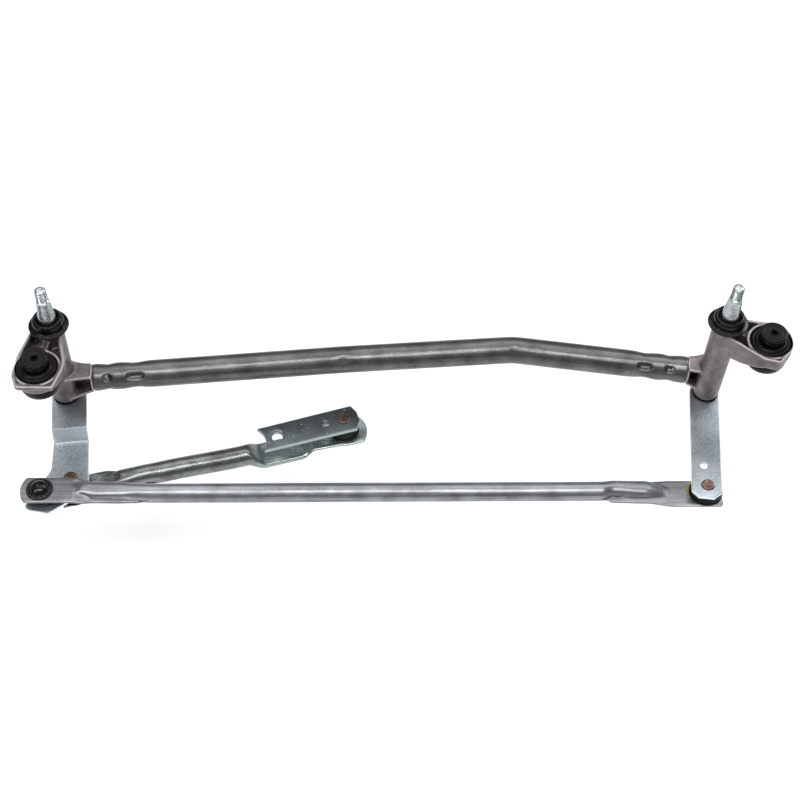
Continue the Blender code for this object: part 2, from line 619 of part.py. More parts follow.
def moving_group(mats, root):
    left_axis = empty("left_spindle_axis", LEFT, root)
    right_axis = empty("right_spindle_axis", RIGHT, root)
    link_axis = empty("link_rod_axis", (LEFT[0] + LINK_BALL[0], LEFT[1] + LINK_BALL[1]), root)
    drive_at = Vector((LEFT[0] + DRIVE_BALL[0], LEFT[1] + DRIVE_BALL[1]))
    drive_axis = empty("drive_rod_axis", drive_at, root)
    crank_axis = empty("motor_crank_axis", CRANK_BALL, root)
    lever_low = LEVER_TOP - JOGGLE_DROP

    spindle("left", mats, left_axis)
    left_lever(mats, left_axis)
    ball_stud("left_link_ball", LINK_BALL, lever_low - SHEET, lever_low, LINK_PLATE_LEFT, mats, left_axis)
    ball_stud("left_drive_ball", DRIVE_BALL, lever_low, lever_low - SHEET, DRIVE_PLATE_LEFT, mats, left_axis)

    spindle("right", mats, right_axis)
    right_lever(mats, right_axis)
    ball_stud("right_link_ball", LINK_BALL, LEVER_TOP, LEVER_TOP - SHEET, LINK_PLATE_RIGHT, mats, right_axis)

    link_rod(mats, link_axis)
    ball_socket("link_rod_left", (0, 0), LINK_PLATE_LEFT, LINK_PLATE_LEFT - lever_low, 1, SMALL_BOOT_R,
                mats, link_axis)
    ball_socket("link_rod_right", (SPINDLE_PITCH, 0), LINK_PLATE_RIGHT, LEVER_TOP - SHEET - LINK_PLATE_RIGHT,
                -1, MIDDLE_BOOT_R, mats, link_axis)

    far = Vector(CRANK_BALL) - drive_at
    drive_rod(mats, drive_axis, far)
    ball_socket("drive_rod_left", (0, 0), DRIVE_PLATE_LEFT, lever_low - SHEET - DRIVE_PLATE_LEFT, -1,
                LARGE_BOOT_R, mats, drive_axis)
    crank_low = CRANK_TOP - CRANK_SHEET
    ball_socket("drive_rod_crank", tuple(far), DRIVE_PLATE_CRANK, crank_low - DRIVE_PLATE_CRANK, -1,
                SMALL_BOOT_R, mats, drive_axis)

    motor_crank(mats, crank_axis)
    ball_stud("crank_ball", (0, 0), CRANK_TOP, crank_low, DRIVE_PLATE_CRANK, mats, crank_axis)


def centre_assembly(root):
    """Put the origin at the middle of the bounding box of all solid pieces."""
    graph = bpy.context.evaluated_depsgraph_get()
    solid = [piece for piece in bpy.data.objects if piece.type == "MESH" and not piece.hide_render]
    corners = [piece.evaluated_get(graph).matrix_world @ vert.co
               for piece in solid for vert in piece.evaluated_get(graph).data.vertices]
    low = Vector([min(corner[axis] for corner in corners) for axis in range(3)])
    high = Vector([max(corner[axis] for corner in corners) for axis in range(3)])
    root.location = -(low + high) / 2


def main():
    clear_scene()
    mats = make_materials()
    root = empty("linkage", (0, 0))
    frame_group(mats, root)
    moving_group(mats, root)
    bpy.context.view_layer.update()
    centre_assembly(root)
    bpy.context.view_layer.update()


main()
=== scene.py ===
import math

import bmesh
import bpy
import numpy as np
from mathutils import Matrix, Vector


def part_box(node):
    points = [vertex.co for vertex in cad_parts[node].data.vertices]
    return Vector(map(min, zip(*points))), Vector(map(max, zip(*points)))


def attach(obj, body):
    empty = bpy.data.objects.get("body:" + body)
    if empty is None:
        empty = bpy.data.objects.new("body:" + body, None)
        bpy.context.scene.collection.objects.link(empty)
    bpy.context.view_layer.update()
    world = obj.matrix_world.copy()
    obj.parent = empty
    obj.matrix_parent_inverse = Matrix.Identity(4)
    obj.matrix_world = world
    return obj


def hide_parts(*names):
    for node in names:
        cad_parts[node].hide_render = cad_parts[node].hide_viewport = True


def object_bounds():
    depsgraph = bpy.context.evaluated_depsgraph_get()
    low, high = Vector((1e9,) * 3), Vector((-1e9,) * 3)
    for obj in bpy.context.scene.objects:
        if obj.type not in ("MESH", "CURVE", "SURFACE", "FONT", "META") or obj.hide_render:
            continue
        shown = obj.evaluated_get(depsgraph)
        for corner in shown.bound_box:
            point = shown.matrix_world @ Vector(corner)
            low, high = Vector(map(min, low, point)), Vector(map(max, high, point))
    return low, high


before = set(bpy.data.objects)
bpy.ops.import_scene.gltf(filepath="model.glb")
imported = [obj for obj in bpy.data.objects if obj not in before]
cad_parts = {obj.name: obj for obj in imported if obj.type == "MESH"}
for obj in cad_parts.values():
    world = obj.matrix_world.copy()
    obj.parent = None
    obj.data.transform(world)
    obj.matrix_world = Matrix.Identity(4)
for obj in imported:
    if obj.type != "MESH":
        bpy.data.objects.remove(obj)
cad_low, cad_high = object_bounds()

# Sizes are in millimetres in the layout's own axes: X from the left spindle to the right one, Y to the
# cross tube's side, Z up along the spindles; the origin is midway between the barrels' lower ends.
MM = 0.001
PITCH = 556.0                    # between the two spindles
LEFT = (-PITCH / 2, 0.0)
RIGHT = (PITCH / 2, 0.0)
SPINDLES = {"left": LEFT, "right": RIGHT}
GROMMETS = {"left": (-6.5, -39.5), "right": (34.0, -15.5)}      # from the spindle
LINK_BALL = (-12.4, -98.6)       # from the spindle, on both levers
DRIVE_BALL = (9.8, -79.5)        # from the left spindle
CRANK_BALL = (-36.9, -12.7)
CRANK_TURN = math.radians(197.2)
CRANK_THROW = 61.2
SHEET = 3.0
LEVER_TOP = -1.5
LEVER_LOW = -13.5                # top of the left lever's outer part, below the joggle
LEFT_LEAN = math.radians(6.3)
LINK_PLATE_LEFT = -5.4           # mid heights of the rods' flattened ends
LINK_PLATE_RIGHT = -14.6
DRIVE_PLATE_LEFT = -34.5
DRIVE_PLATE_CRANK = -39.0
LINK_AXIS = -10.2
LINK_R = 8.1
DRIVE_AXIS_LEFT = -35.0
DRIVE_AXIS_CRANK = -40.0
DRIVE_R = 9.3
CRANK_TOP = -20.5
CRANK_SHEET = 4.0
RIVET_HOLE_R = 5.2
TUBE_Z = 22.0
TUBE_R = 11.6
TUBE_LEFT = (-251.0, 0.0)
TUBE_MID = (-38.0, 19.0)
TUBE_BEND = (110.0, 29.4)
TUBE_RIGHT = (257.5, 6.0)

foot_low, foot_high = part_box("left_spindle")
foot_mid = (foot_low + foot_high) / 2 / MM
OFFSET = Vector((foot_mid.x - LEFT[0], foot_mid.y - LEFT[1], foot_low.z / MM + 6.8))


# ---------------------------------------------------------------- placing pieces

def clean(mesh):
    """Merge doubled points and point all faces outwards."""
    bm = bmesh.new()
    bm.from_mesh(mesh)
    bmesh.ops.remove_doubles(bm, verts=bm.verts, dist=1e-6)
    bmesh.ops.recalc_face_normals(bm, faces=bm.faces)
    bm.to_mesh(mesh)
    bm.free()


def add_mesh(name, verts, faces, body, material, node_name, slot, at, sharp=40, grain=None):
    """A piece from millimetres about a place in the layout; it rides on a body and replaces a CAD node."""
    verts = (np.asarray(verts, float) + np.array(at, float) + np.array(OFFSET)) * MM
    mesh = bpy.data.meshes.new(name)
    mesh.from_pydata(verts.tolist(), [], [list(map(int, face)) for face in faces])
    if grain is not None:
        layer = mesh.attributes.new("grain", "FLOAT_VECTOR", "POINT")
        layer.data.foreach_set("vector", np.asarray(grain, float).ravel())
    mesh.validate()
    clean(mesh)
    mesh.shade_smooth()
    if sharp:
        mesh.set_sharp_from_angle(angle=math.radians(sharp))
    piece = bpy.data.objects.new(name, mesh)
    bpy.context.scene.collection.objects.link(piece)
    mesh.materials.append(material)
    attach(piece, body)
    if node_name:
        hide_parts(node_name)
    return piece


def rounded_profile(profile, radius=0.35, steps=3):
    """Round the corners of an open profile of (radius, z) points; points on the axis stay."""
    points = [Vector(p) for p in profile]
    smooth = [points[0]]
    for before, here, after in zip(points, points[1:], points[2:]):
        back = before - here
        ahead = after - here
        if back.length < 1e-6 or ahead.length < 1e-6:
            smooth.append(here)
            continue
        cut = min(radius, back.length * 0.45, ahead.length * 0.45)
        first = here + back.normalized() * cut
        last = here + ahead.normalized() * cut
        for k in range(steps + 1):
            t = k / steps
            smooth.append(first * (1 - t) ** 2 + here * 2 * t * (1 - t) + last * t * t)
    smooth.append(points[-1])
    return smooth


def skin(rows, count, rows_close=True, row_closes=False):
    """Faces between neighbouring rows of points, each row with the same count of them."""
    faces = []
    for r in range(rows if rows_close else rows - 1):
        n = (r + 1) % rows
        for i in range(count if row_closes else count - 1):
            j = (i + 1) % count
            faces.append((r * count + i, r * count + j, n * count + j, n * count + i))
    return faces


def wrapped(sides, column_at, closes=False):
    """Vertices and faces around Z; column_at gives the (radius, z) points at an angle."""
    verts = []
    for k in range(sides):
        a = math.tau * k / sides
        verts += [(r * math.cos(a), r * math.sin(a), z) for r, z in column_at(a)]
    return verts, skin(sides, len(verts) // sides, row_closes=closes)


def turned(profile, sides=72, flip=False, closed=False, radius=0.35):
    """Vertices and faces of a profile turned about Z; flip turns it upside down."""
    if closed:
        smooth = rounded_profile(profile + profile[:2], radius)[1:-1]
    else:
        smooth = rounded_profile(profile, radius)
    column = [(p.x, -p.y if flip else p.y) for p in smooth]
    return wrapped(sides, lambda a: column, closed)


def add_turned(name, profile, *where, sides=72, flip=False, closed=False, radius=0.35):
    add_mesh(name, *turned(profile, sides, flip, closed, radius), *where)


# ---------------------------------------------------------------- distance fields

def axes(low, high, cell):
    """Coordinates along X, Y and Z of a grid with some room around a box."""
    return [np.arange(low[i] - 2 * cell, high[i] + 2.5 * cell, cell) for i in range(3)]


def spread(grid):
    """The grid's coordinates, shaped so that sums of them fill the grid."""
    return grid[0][:, None, None], grid[1][None, :, None], grid[2][None, None, :]


def smin(a, b, k):
    """Union of two fields with a soft crease."""
    h = np.clip(0.5 + 0.5 * (b - a) / k, 0, 1)
    return b * (1 - h) + a * h - k * h * (1 - h)


def smax(a, b, k):
    """Intersection of two fields with a rounded edge."""
    return -smin(-a, -b, k)


def polygon_distance(x, y, outline):
    """Signed distance to a closed outline, negative inside."""
    points = np.asarray(outline, float)
    best = np.full(np.broadcast(x, y).shape, 1e9)
    sign = np.ones_like(best)
    for (ax, ay), (bx, by) in zip(points, np.roll(points, -1, axis=0)):
        ex, ey = bx - ax, by - ay
        wx, wy = x - ax, y - ay
        t = np.clip((wx * ex + wy * ey) / (ex * ex + ey * ey), 0, 1)
        best = np.minimum(best, (wx - t * ex) ** 2 + (wy - t * ey) ** 2)
        above = (ay <= y) & (by > y)
        below = (ay > y) & (by <= y)
        cross = ex * wy - ey * wx
        sign = np.where((above & (cross > 0)) | (below & (cross < 0)), -sign, sign)
    return sign * np.sqrt(best)


def surface(field, grid):
    """Surface of a distance field by surface nets, drawn onto the zero level."""
    inside = field < 0
    cell = [g[1] - g[0] for g in grid]
    start = np.array([g[0] for g in grid])
    shape = np.array(field.shape) - 1
    corners = list(np.ndindex(2, 2, 2))
    total = np.zeros(shape, np.int8)
    for i, j, k in corners:
        total += inside[i:i + shape[0], j:j + shape[1], k:k + shape[2]]
    active = np.argwhere((total > 0) & (total < 8))
    index = np.full(shape, -1, np.int64)
    index[tuple(active.T)] = np.arange(len(active))
    values = {c: field[tuple((active + c).T)] for c in corners}
    point = np.zeros((len(active), 3))
    hits = np.zeros(len(active))
    for c in corners:
        for axis in range(3):
            if c[axis]:
                continue
            d = list(c)
            d[axis] = 1
            va, vb = values[c], values[tuple(d)]
            crossing = (va < 0) != (vb < 0)
            spot = np.array(c, float)[None, :].repeat(len(active), 0)
            spot[:, axis] = np.where(crossing, va / np.where(crossing, va - vb, 1), 0)
            point += np.where(crossing[:, None], spot, 0)
            hits += crossing
    verts = start + (active + point / hits[:, None]) * cell
    gradient = np.gradient(field, *cell)
    for _ in range(2):
        f = (verts - start) / cell
        base = np.clip(np.floor(f).astype(int), 0, shape - 1)
        f = f - base
        value = np.zeros(len(verts))
        slope = np.zeros((len(verts), 3))
        for c in corners:
            w = np.prod(np.where(c, f, 1 - f), axis=1)
            at = tuple((base + c).T)
            value += w * field[at]
            slope += w[:, None] * np.stack([g[at] for g in gradient], 1)
        size = np.maximum((slope ** 2).sum(1), 0.25)
        step = np.clip(value / size, -0.5 * cell[0], 0.5 * cell[0])
        verts -= slope * step[:, None]
    faces = []
    for axis in range(3):
        u, v = (axis + 1) % 3, (axis + 2) % 3
        ahead = [slice(None)] * 3
        ahead[axis] = slice(1, None)
        behind = [slice(None)] * 3
        behind[axis] = slice(None, -1)
        flips = np.argwhere(inside[tuple(behind)] != inside[tuple(ahead)])
        a, b = flips[:, u], flips[:, v]
        flips = flips[(a > 0) & (b > 0) & (a < shape[u]) & (b < shape[v])]
        quad = []
        for du, dv in ((1, 1), (0, 1), (0, 0), (1, 0)):
            near = flips.copy()
            near[:, u] -= du
            near[:, v] -= dv
            quad.append(index[tuple(near.T)])
        faces.append(np.stack(quad, 1))
    faces = np.concatenate(faces)
    return verts, faces[(faces >= 0).all(1)]


def add_field(name, field, grid, *where):
    add_mesh(name, *surface(field, grid), *where, sharp=0)


# ---------------------------------------------------------------- materials

def new_material(name):
    material = bpy.data.materials.new(name)
    material.use_nodes = True
    tree = material.node_tree
    return material, tree, tree.nodes["Principled BSDF"]


def node(tree, kind, **values):
    made = tree.nodes.new(kind)
    for key, value in values.items():
        if key in made.inputs:
            made.inputs[key].default_value = value
        else:
            setattr(made, key, value)
    return made


def ramp(tree, source, stops):
    made = tree.nodes.new("ShaderNodeValToRGB")
    elements = made.color_ramp.elements
    while len(elements) < len(stops):
        elements.new(0.5)
    for element, (position, shade) in zip(elements, stops):
        element.position = position
        element.color = (*shade, 1) if hasattr(shade, "__len__") else (shade, shade, shade, 1)
    tree.links.new(source, made.inputs["Fac"])
    return made.outputs["Color"]


def place(tree, stretch=(1, 1, 1), turn=0.0, drawn=False):
    """Object coordinates in millimetres, stretched; a drawn tube has its own, which follow its bends."""
    mapping = tree.nodes.new("ShaderNodeMapping")
    if drawn:
        source = node(tree, "ShaderNodeAttribute", attribute_name="grain").outputs["Vector"]
    else:
        source = tree.nodes.new("ShaderNodeTexCoord").outputs["Object"]
        stretch = [s / MM for s in stretch]
    mapping.inputs["Scale"].default_value = stretch
    mapping.inputs["Rotation"].default_value = (0, 0, turn)
    tree.links.new(source, mapping.inputs["Vector"])
    return mapping.outputs["Vector"]


def noise(tree, vector, scale, detail=3.0, rough=0.55):
    made = node(tree, "ShaderNodeTexNoise", Scale=scale, Detail=detail, Roughness=rough)
    tree.links.new(vector, made.inputs["Vector"])
    return made.outputs["Fac"]


def component(tree, vector, axis):
    split = tree.nodes.new("ShaderNodeSeparateXYZ")
    tree.links.new(vector, split.inputs["Vector"])
    return split.outputs[axis]


def mix(tree, fac, a, b, mode="MIX"):
    made = tree.nodes.new("ShaderNodeMix")
    made.data_type = "RGBA"
    made.blend_type = mode
    for key, value in ((0, fac), (6, a), (7, b)):
        if isinstance(value, bpy.types.NodeSocket):
            tree.links.new(value, made.inputs[key])
        elif key == 0:
            made.inputs[key].default_value = value
        else:
            made.inputs[key].default_value = (*value, 1)
    return made.outputs[2]


def bump(tree, shader, height, distance, strength=0.6, before=None):
    made = node(tree, "ShaderNodeBump", Strength=strength, Distance=distance * MM)
    tree.links.new(height, made.inputs["Height"])
    if before:
        tree.links.new(before, made.inputs["Normal"])
    tree.links.new(made.outputs["Normal"], shader.inputs["Normal"])
    return made.outputs["Normal"]


def metal(name, dark, light, rough, grain, streak=None, speck=None, blotch=0.06, bump_mm=0.03, turn=0.0,
          drawn=False, ridge=0.1, edge=None, painted_light_end=None):
    """Plated or bare metal: large blotches, a fine grain, optional drawing lines and specks, and an
    optional painted highlight on edges and on faces that don't face up.

    The painted light end is (x in metres where it starts, colour): painted light, a paler colour from that
    x onwards.
    """
    material, tree, shader = new_material(name)
    shader.inputs["Metallic"].default_value = 0.92
    fine = noise(tree, place(tree), grain, 4.0, 0.65)
    broad = noise(tree, place(tree), blotch, 3.0, 0.5)
    base = mix(tree, ramp(tree, broad, [(0.32, 0.0), (0.68, 1.0)]), dark, light)
    # painted light: the colour turns paler from the given x onwards, lifting the shade that falls there
    if painted_light_end:
        x = component(tree, tree.nodes.new("ShaderNodeTexCoord").outputs["Object"], "X")
        limits = {"From Min": painted_light_end[0], "From Max": painted_light_end[0] + 0.012}
        reach = node(tree, "ShaderNodeMapRange", **limits)
        tree.links.new(x, reach.inputs["Value"])
        base = mix(tree, reach.outputs["Result"], base, painted_light_end[1])
    tone = ramp(tree, fine, [(0.3, 0.74), (0.7, 1.2)])
    base = mix(tree, 0.85, base, tone, "MULTIPLY")
    first = None
    if streak:
        lines = noise(tree, place(tree, streak, turn, drawn), 1.0, 4.0, 0.7)
        base = mix(tree, 0.8, base, ramp(tree, lines, [(0.35, 0.66), (0.65, 1.2)]), "MULTIPLY")
        first = bump(tree, shader, lines, ridge, 0.7)
    if speck:
        spots = noise(tree, place(tree), speck[0], 1.0, 0.4)
        base = mix(tree, ramp(tree, spots, [(speck[1], 0.0), (speck[1] + 0.06, 1.0)]), base, speck[2])
    # painted highlight: the edge colour is laid over sharp edges (by pointiness) and over faces that don't
    # face up, such as sides and slopes
    if edge:
        geometry = tree.nodes.new("ShaderNodeNewGeometry")
        base = mix(tree, ramp(tree, geometry.outputs["Pointiness"], [(0.53, 0.0), (0.6, 0.8)]), base, edge)
        upright = component(tree, geometry.outputs["Normal"], "Z")
        base = mix(tree, ramp(tree, upright, [(0.6, 1.0), (0.85, 0.0)]), base, edge)
    tree.links.new(base, shader.inputs["Base Color"])
    gloss = ramp(tree, fine, [(0.3, rough[0]), (0.7, rough[1])])
    tree.links.new(gloss, shader.inputs["Roughness"])
    bump(tree, shader, fine, bump_mm, 0.6, first)
    return material


def cast(name):
    """Bare die casting: warm grey skin, with painted shade in its recesses and a painted highlight along
    its edges.
    """
    material, tree, shader = new_material(name)
    shader.inputs["Metallic"].default_value = 0.7
    vector = place(tree)
    broad = noise(tree, vector, 0.09, 4.0, 0.6)
    fine = noise(tree, vector, 1.6, 4.0, 0.7)
    base = mix(tree, ramp(tree, broad, [(0.3, 0.0), (0.7, 1.0)]), (0.12, 0.105, 0.102), (0.27, 0.24, 0.232))
    base = mix(tree, 0.8, base, ramp(tree, fine, [(0.3, 0.74), (0.7, 1.2)]), "MULTIPLY")
    # painted shade: ambient occlusion darkens the recesses, the pockets and the corners between the webs
    painted_recess_shade = node(tree, "ShaderNodeAmbientOcclusion", Distance=9 * MM, samples=8)
    base = mix(tree, 1.0, base, ramp(tree, painted_recess_shade.outputs["AO"], [(0.15, 0.12), (0.75, 1.0)]), "MULTIPLY")
    # painted highlight: sharp edges and rims turn pale by pointiness
    geometry = tree.nodes.new("ShaderNodeNewGeometry")
    painted_rim_highlight = ramp(tree, geometry.outputs["Pointiness"], [(0.505, 0.0), (0.56, 1.0)])
    base = mix(tree, painted_rim_highlight, base, (0.66, 0.6, 0.585))
    tree.links.new(base, shader.inputs["Base Color"])
    tree.links.new(ramp(tree, fine, [(0.25, 0.38), (0.75, 0.58)]), shader.inputs["Roughness"])
    first = bump(tree, shader, broad, 0.3, 0.5)
    bump(tree, shader, fine, 0.08, 0.6, first)
    return material


def moulded(name, shade, rough, grain, bump_mm, specular=0.5, scuff=0.5):
    """Plastic, rubber or black-coated steel with dust, scuffs and a fine texture."""
    material, tree, shader = new_material(name)
    vector = place(tree)
    fine = noise(tree, vector, grain, 3.0, 0.6)
    dust = noise(tree, vector, 0.35, 5.0, 0.7)
    light = tuple(min(1.0, c * 2.0 + 0.004) for c in shade)
    base = mix(tree, ramp(tree, dust, [(0.5, 0.0), (0.78, scuff)]), shade, light)
    tree.links.new(base, shader.inputs["Base Color"])
    tree.links.new(ramp(tree, dust, [(0.3, rough[0]), (0.7, rough[1])]), shader.inputs["Roughness"])
    shader.inputs["Specular IOR Level"].default_value = specular
    bump(tree, shader, fine, bump_mm, 0.5)
    return material


def make_materials():
    m = {}
    m["tube"] = metal("tube_steel_drawn", (0.1, 0.1, 0.098), (0.18, 0.18, 0.176), (0.26, 0.42), 1.3,
                      streak=(0.012, 0.5, 0.5), speck=(1.4, 0.68, (0.36, 0.36, 0.35)), drawn=True,
                      ridge=0.22)
    m["link"] = metal("link_rod_steel", (0.22, 0.226, 0.234), (0.35, 0.36, 0.372), (0.3, 0.46), 1.3,
                      streak=(0.015, 0.6, 0.6), speck=(1.4, 0.7, (0.6, 0.61, 0.62)), ridge=0.12)
    # painted light: the drive rod's crank end is painted paler to lift the crank's shadow on its flat zone
    m["drive"] = metal("drive_rod_steel", (0.13, 0.135, 0.134), (0.26, 0.275, 0.27), (0.22, 0.36), 1.3,
                       streak=(0.015, 0.6, 0.6), speck=(1.4, 0.7, (0.5, 0.52, 0.52)),
                       turn=math.radians(-15.7), painted_light_end=((OFFSET.x - 118) * MM, (0.36, 0.4, 0.39)))
    # the lever's near-white edge colour is a painted highlight on its edges, its sides and the joggle's
    # slope
    m["lever"] = metal("lever_zinc", (0.24, 0.27, 0.295), (0.42, 0.46, 0.49), (0.32, 0.48), 1.5,
                       speck=(1.25, 0.55, (0.54, 0.59, 0.62)), blotch=0.05, bump_mm=0.07,
                       edge=(0.86, 0.92, 0.95))
    # the crank's edge colour is a painted highlight on its edges and its thick sides
    m["crank"] = metal("crank_zinc_dark", (0.1, 0.115, 0.12), (0.17, 0.19, 0.194), (0.28, 0.42), 1.2,
                       speck=(0.5, 0.71, (0.5, 0.55, 0.55)), bump_mm=0.04, edge=(0.36, 0.42, 0.42))
    m["spindle"] = metal("spindle_zinc_bright", (0.3, 0.335, 0.335), (0.58, 0.63, 0.63), (0.2, 0.38), 2.2,
                         speck=(1.5, 0.6, (0.9, 0.94, 0.94)), blotch=0.3, bump_mm=0.07)
    m["hidden_zinc"] = metal("sleeve_zinc", (0.4, 0.43, 0.45), (0.52, 0.55, 0.57), (0.35, 0.5), 1.0)
    m["rivet"] = metal("rivet_brown", (0.1, 0.055, 0.042), (0.22, 0.14, 0.112), (0.28, 0.45), 1.1,
                       speck=(0.6, 0.64, (0.5, 0.43, 0.4)), blotch=0.2)
    m["bronze"] = metal("bush_bronze", (0.3, 0.2, 0.1), (0.46, 0.32, 0.17), (0.4, 0.55), 1.5)
    m["cast"] = cast("housing_casting")
    m["plastic"] = moulded("cap_plastic", (0.003, 0.003, 0.0035), (0.1, 0.28), 1.4, 0.02, 0.22)
    m["socket"] = moulded("socket_plastic", (0.002, 0.002, 0.0025), (0.14, 0.26), 1.1, 0.01, 0.35)
    m["rubber"] = moulded("grommet_rubber", (0.005, 0.004, 0.005), (0.26, 0.42), 1.2, 0.05, 0.14)
    m["boot"] = moulded("boot_rubber", (0.003, 0.003, 0.0035), (0.22, 0.4), 1.2, 0.04, 0.14)
    m["screw"] = moulded("screw_coating", (0.003, 0.003, 0.004), (0.14, 0.32), 0.9, 0.03, 0.14, 0.9)
    m["grease"] = moulded("amber_grease", (0.3, 0.19, 0.02), (0.2, 0.4), 0.7, 0.1)
    return m


# ---------------------------------------------------------------- outlines

def arc(centre, radius, start, end, steps):
    angles = [math.radians(start + (end - start) * i / steps) for i in range(steps + 1)]
    return [(centre[0] + radius * math.cos(a), centre[1] + radius * math.sin(a)) for a in angles]


def fillet(points, radii, steps=10):
    outline = []
    for i, corner in enumerate(points):
        here = Vector(corner)
        back = (Vector(points[i - 1]) - here).normalized()
        ahead = (Vector(points[(i + 1) % len(points)]) - here).normalized()
        half = back.angle(ahead) / 2
        if radii[i] == 0:
            outline.append(tuple(here))
            continue
        centre = here + (back + ahead).normalized() * radii[i] / math.sin(half)
        first = here + back * radii[i] / math.tan(half) - centre
        last = here + ahead * radii[i] / math.tan(half) - centre
        sweep = first.angle_signed(last)
        for k in range(steps + 1):
            outline.append(tuple(centre + Matrix.Rotation(-sweep * k / steps, 2) @ first))
    return outline


# ---------------------------------------------------------------- housings

ARMS = {
    "left": {
        "outline": [(6, 5), (-8, 7), (-16.5, -3), (-23.4, -27), (-25.6, -48), (-21.5, -60.6), (8.6, -61.4),
                    (16.4, -38)],
        "radii": [0, 0, 6, 30, 6, 4, 3, 30],
        "rim_top": 83.5, "skirt": (79.0, 48.0), "rise": 0.5,
        "low": (-28, -63, -1), "high": (44, 14, 91),
    },
    "right": {
        "outline": [(-8, -5), (12, -24), (25, -35.5), (38.4, -39.6), (51.5, -22), (51.5, -5), (34, 3.8),
                    (6, 10.5), (-3, 6)],
        "radii": [0, 30, 12, 4, 14, 10, 14, 3, 0],
        "rim_top": 85.0, "skirt": (74.5, 63.5), "rise": 2.0,
        "low": (-38, -42, -1), "high": (53, 14, 91),
    },
}
ARM_WALL = 2.2
POCKET_FLOOR = 73.5              # the arm's web lies between this height and its underside
WEB_UNDERSIDE = 70.8
SEAT_R = 17.4                    # well for the grommet
FLANGE_R = 13.9                  # hole of the flange that sits in the grommet's groove
BARREL_R = 11.0
BORE_R = 8.2
BARREL_TOP = 90.0
PLUG_R = 9.4


def arm_field(side, x, y, z, radial):
    """Tray-shaped arm with two pockets, a rib between them and the ring that holds the grommet."""
    arm = ARMS[side]
    gx, gy = GROMMETS[side]
    reach = math.hypot(gx, gy)
    flat = polygon_distance(x, y, fillet(arm["outline"], arm["radii"]))
    seat = np.hypot(x - gx, y - gy)
    share = np.clip((radial - BARREL_R) / (reach + 8 - BARREL_R), 0, 1)
    skirt = arm["skirt"][1] + (arm["skirt"][0] - arm["skirt"][1]) * share ** arm["rise"]

    outside = smax(flat, z - arm["rim_top"], 0.9)
    outside = smax(outside, skirt - z, 0.9)
    hollow = smax(flat + ARM_WALL, POCKET_FLOOR - z, 1.2)
    below = smax(flat + ARM_WALL + 0.4, z - WEB_UNDERSIDE, 1.2)
    tray = smax(outside, -hollow, 1.0)
    tray = smax(tray, -below, 1.0)

    ring = smax(seat - SEAT_R - 2.2, z - arm["rim_top"] + 0.6, 0.8)
    ring = smax(ring, POCKET_FLOOR - 1 - z, 0.8)
    ring = smax(ring, flat + 0.2, 0.6)
    body = smin(tray, ring, 1.4)

    along = np.clip((x * gx + y * gy) / reach, 0, reach - 16)
    rib = np.hypot(x - along * gx / reach, y - along * gy / reach) - 2.6
    rib = smax(rib, z - arm["rim_top"] + 1.0 + 0.04 * radial, 0.8)
    rib = smax(rib, 70 - z, 0.8)
    rib = smax(rib, flat + 0.4, 0.5)
    body = smin(body, rib, 2.2)

    well = smax(seat - SEAT_R, 66 - z, 0.3)
    body = smax(body, -well, 0.6)
    flange = smax(seat - 19, z - 79.8, 0.4)
    flange = smax(flange, 76.2 - z, 0.4)
    flange = smax(flange, FLANGE_R - seat, 0.4)
    flange = smax(flange, flat + 0.3, 0.4)
    return np.minimum(body, flange)


def spigot_field(side, x, y, z):
    """Webs from the barrel, collar and plug for the cross tube; and the room that the tube's wall needs."""
    end = TUBE_LEFT if side == "left" else TUBE_RIGHT
    sx, sy = end[0] - SPINDLES[side][0], end[1] - SPINDLES[side][1]
    towards = Vector((TUBE_BEND[0] - end[0], TUBE_BEND[1] - end[1])).normalized()
    u = (x - sx) * towards.x + (y - sy) * towards.y
    v = -(x - sx) * towards.y + (y - sy) * towards.x
    w = z - TUBE_Z
    rear = v if side == "left" else -v
    length = math.hypot(sx, sy) - 4
    near = np.clip(-(u + 1.5) / (length - 1.5), 0, 1)
    flare = near ** 2
    top = smax(np.abs(rear - 2.4 * flare) - (8.2 + 5.0 * flare), np.abs(w - 8.6 - 1.2 * flare) - 1.3, 0.6)
    web = smax(np.abs(rear - 5.6) - 1.3, np.abs(w + 1.5) - 11, 0.5)
    slope = -9.6 - 8.6 * near
    foot = smax(np.abs(v) - 7.0 - 2.0 * flare, np.abs(w - slope) - 1.2, 0.6)
    webs = smin(smin(top, web, 1.2), foot, 1.2)
    webs = smax(webs, u + 1.2, 0.5)
    webs = smax(webs, -length - u, 0.5)
    across = np.sqrt(v * v + w * w)
    collar = smax(across - 11.1, np.abs(u + 1.15) - 0.75, 0.4)
    plug = smax(across - PLUG_R, np.abs(u - 5) - 7.6, 0.5)
    wall = smax(np.abs(across - 11.0) - 1.35, -u - 0.3, 0.1)
    return smin(smin(webs, collar, 0.8), plug, 0.3), wall


def housing_field(side, grid):
    x, y, z = spread(grid)
    radial = np.hypot(x, y)
    taper = BARREL_R + 0.15 - 0.003 * (BARREL_TOP - z)
    barrel = smax(radial - taper, z - BARREL_TOP, 0.8)
    barrel = smax(barrel, -z, 2.0)
    spigot, tube_wall = spigot_field(side, x, y, z)
    body = smin(arm_field(side, x, y, z, radial), barrel, 3.4)
    body = smin(body, spigot, 2.2)
    body = smax(body, BORE_R - radial, 0.4)
    return smax(body, -tube_wall, 0.1)


def housings(m):
    cell = 0.55
    for side, spindle in SPINDLES.items():
        grid = axes(ARMS[side]["low"], ARMS[side]["high"], cell)
        add_field(side + "_housing_casting", housing_field(side, grid), grid, "frame", m["cast"],
                  side + "_housing", "cast_alloy", (*spindle, 0))


# ---------------------------------------------------------------- mountings, caps and spindles

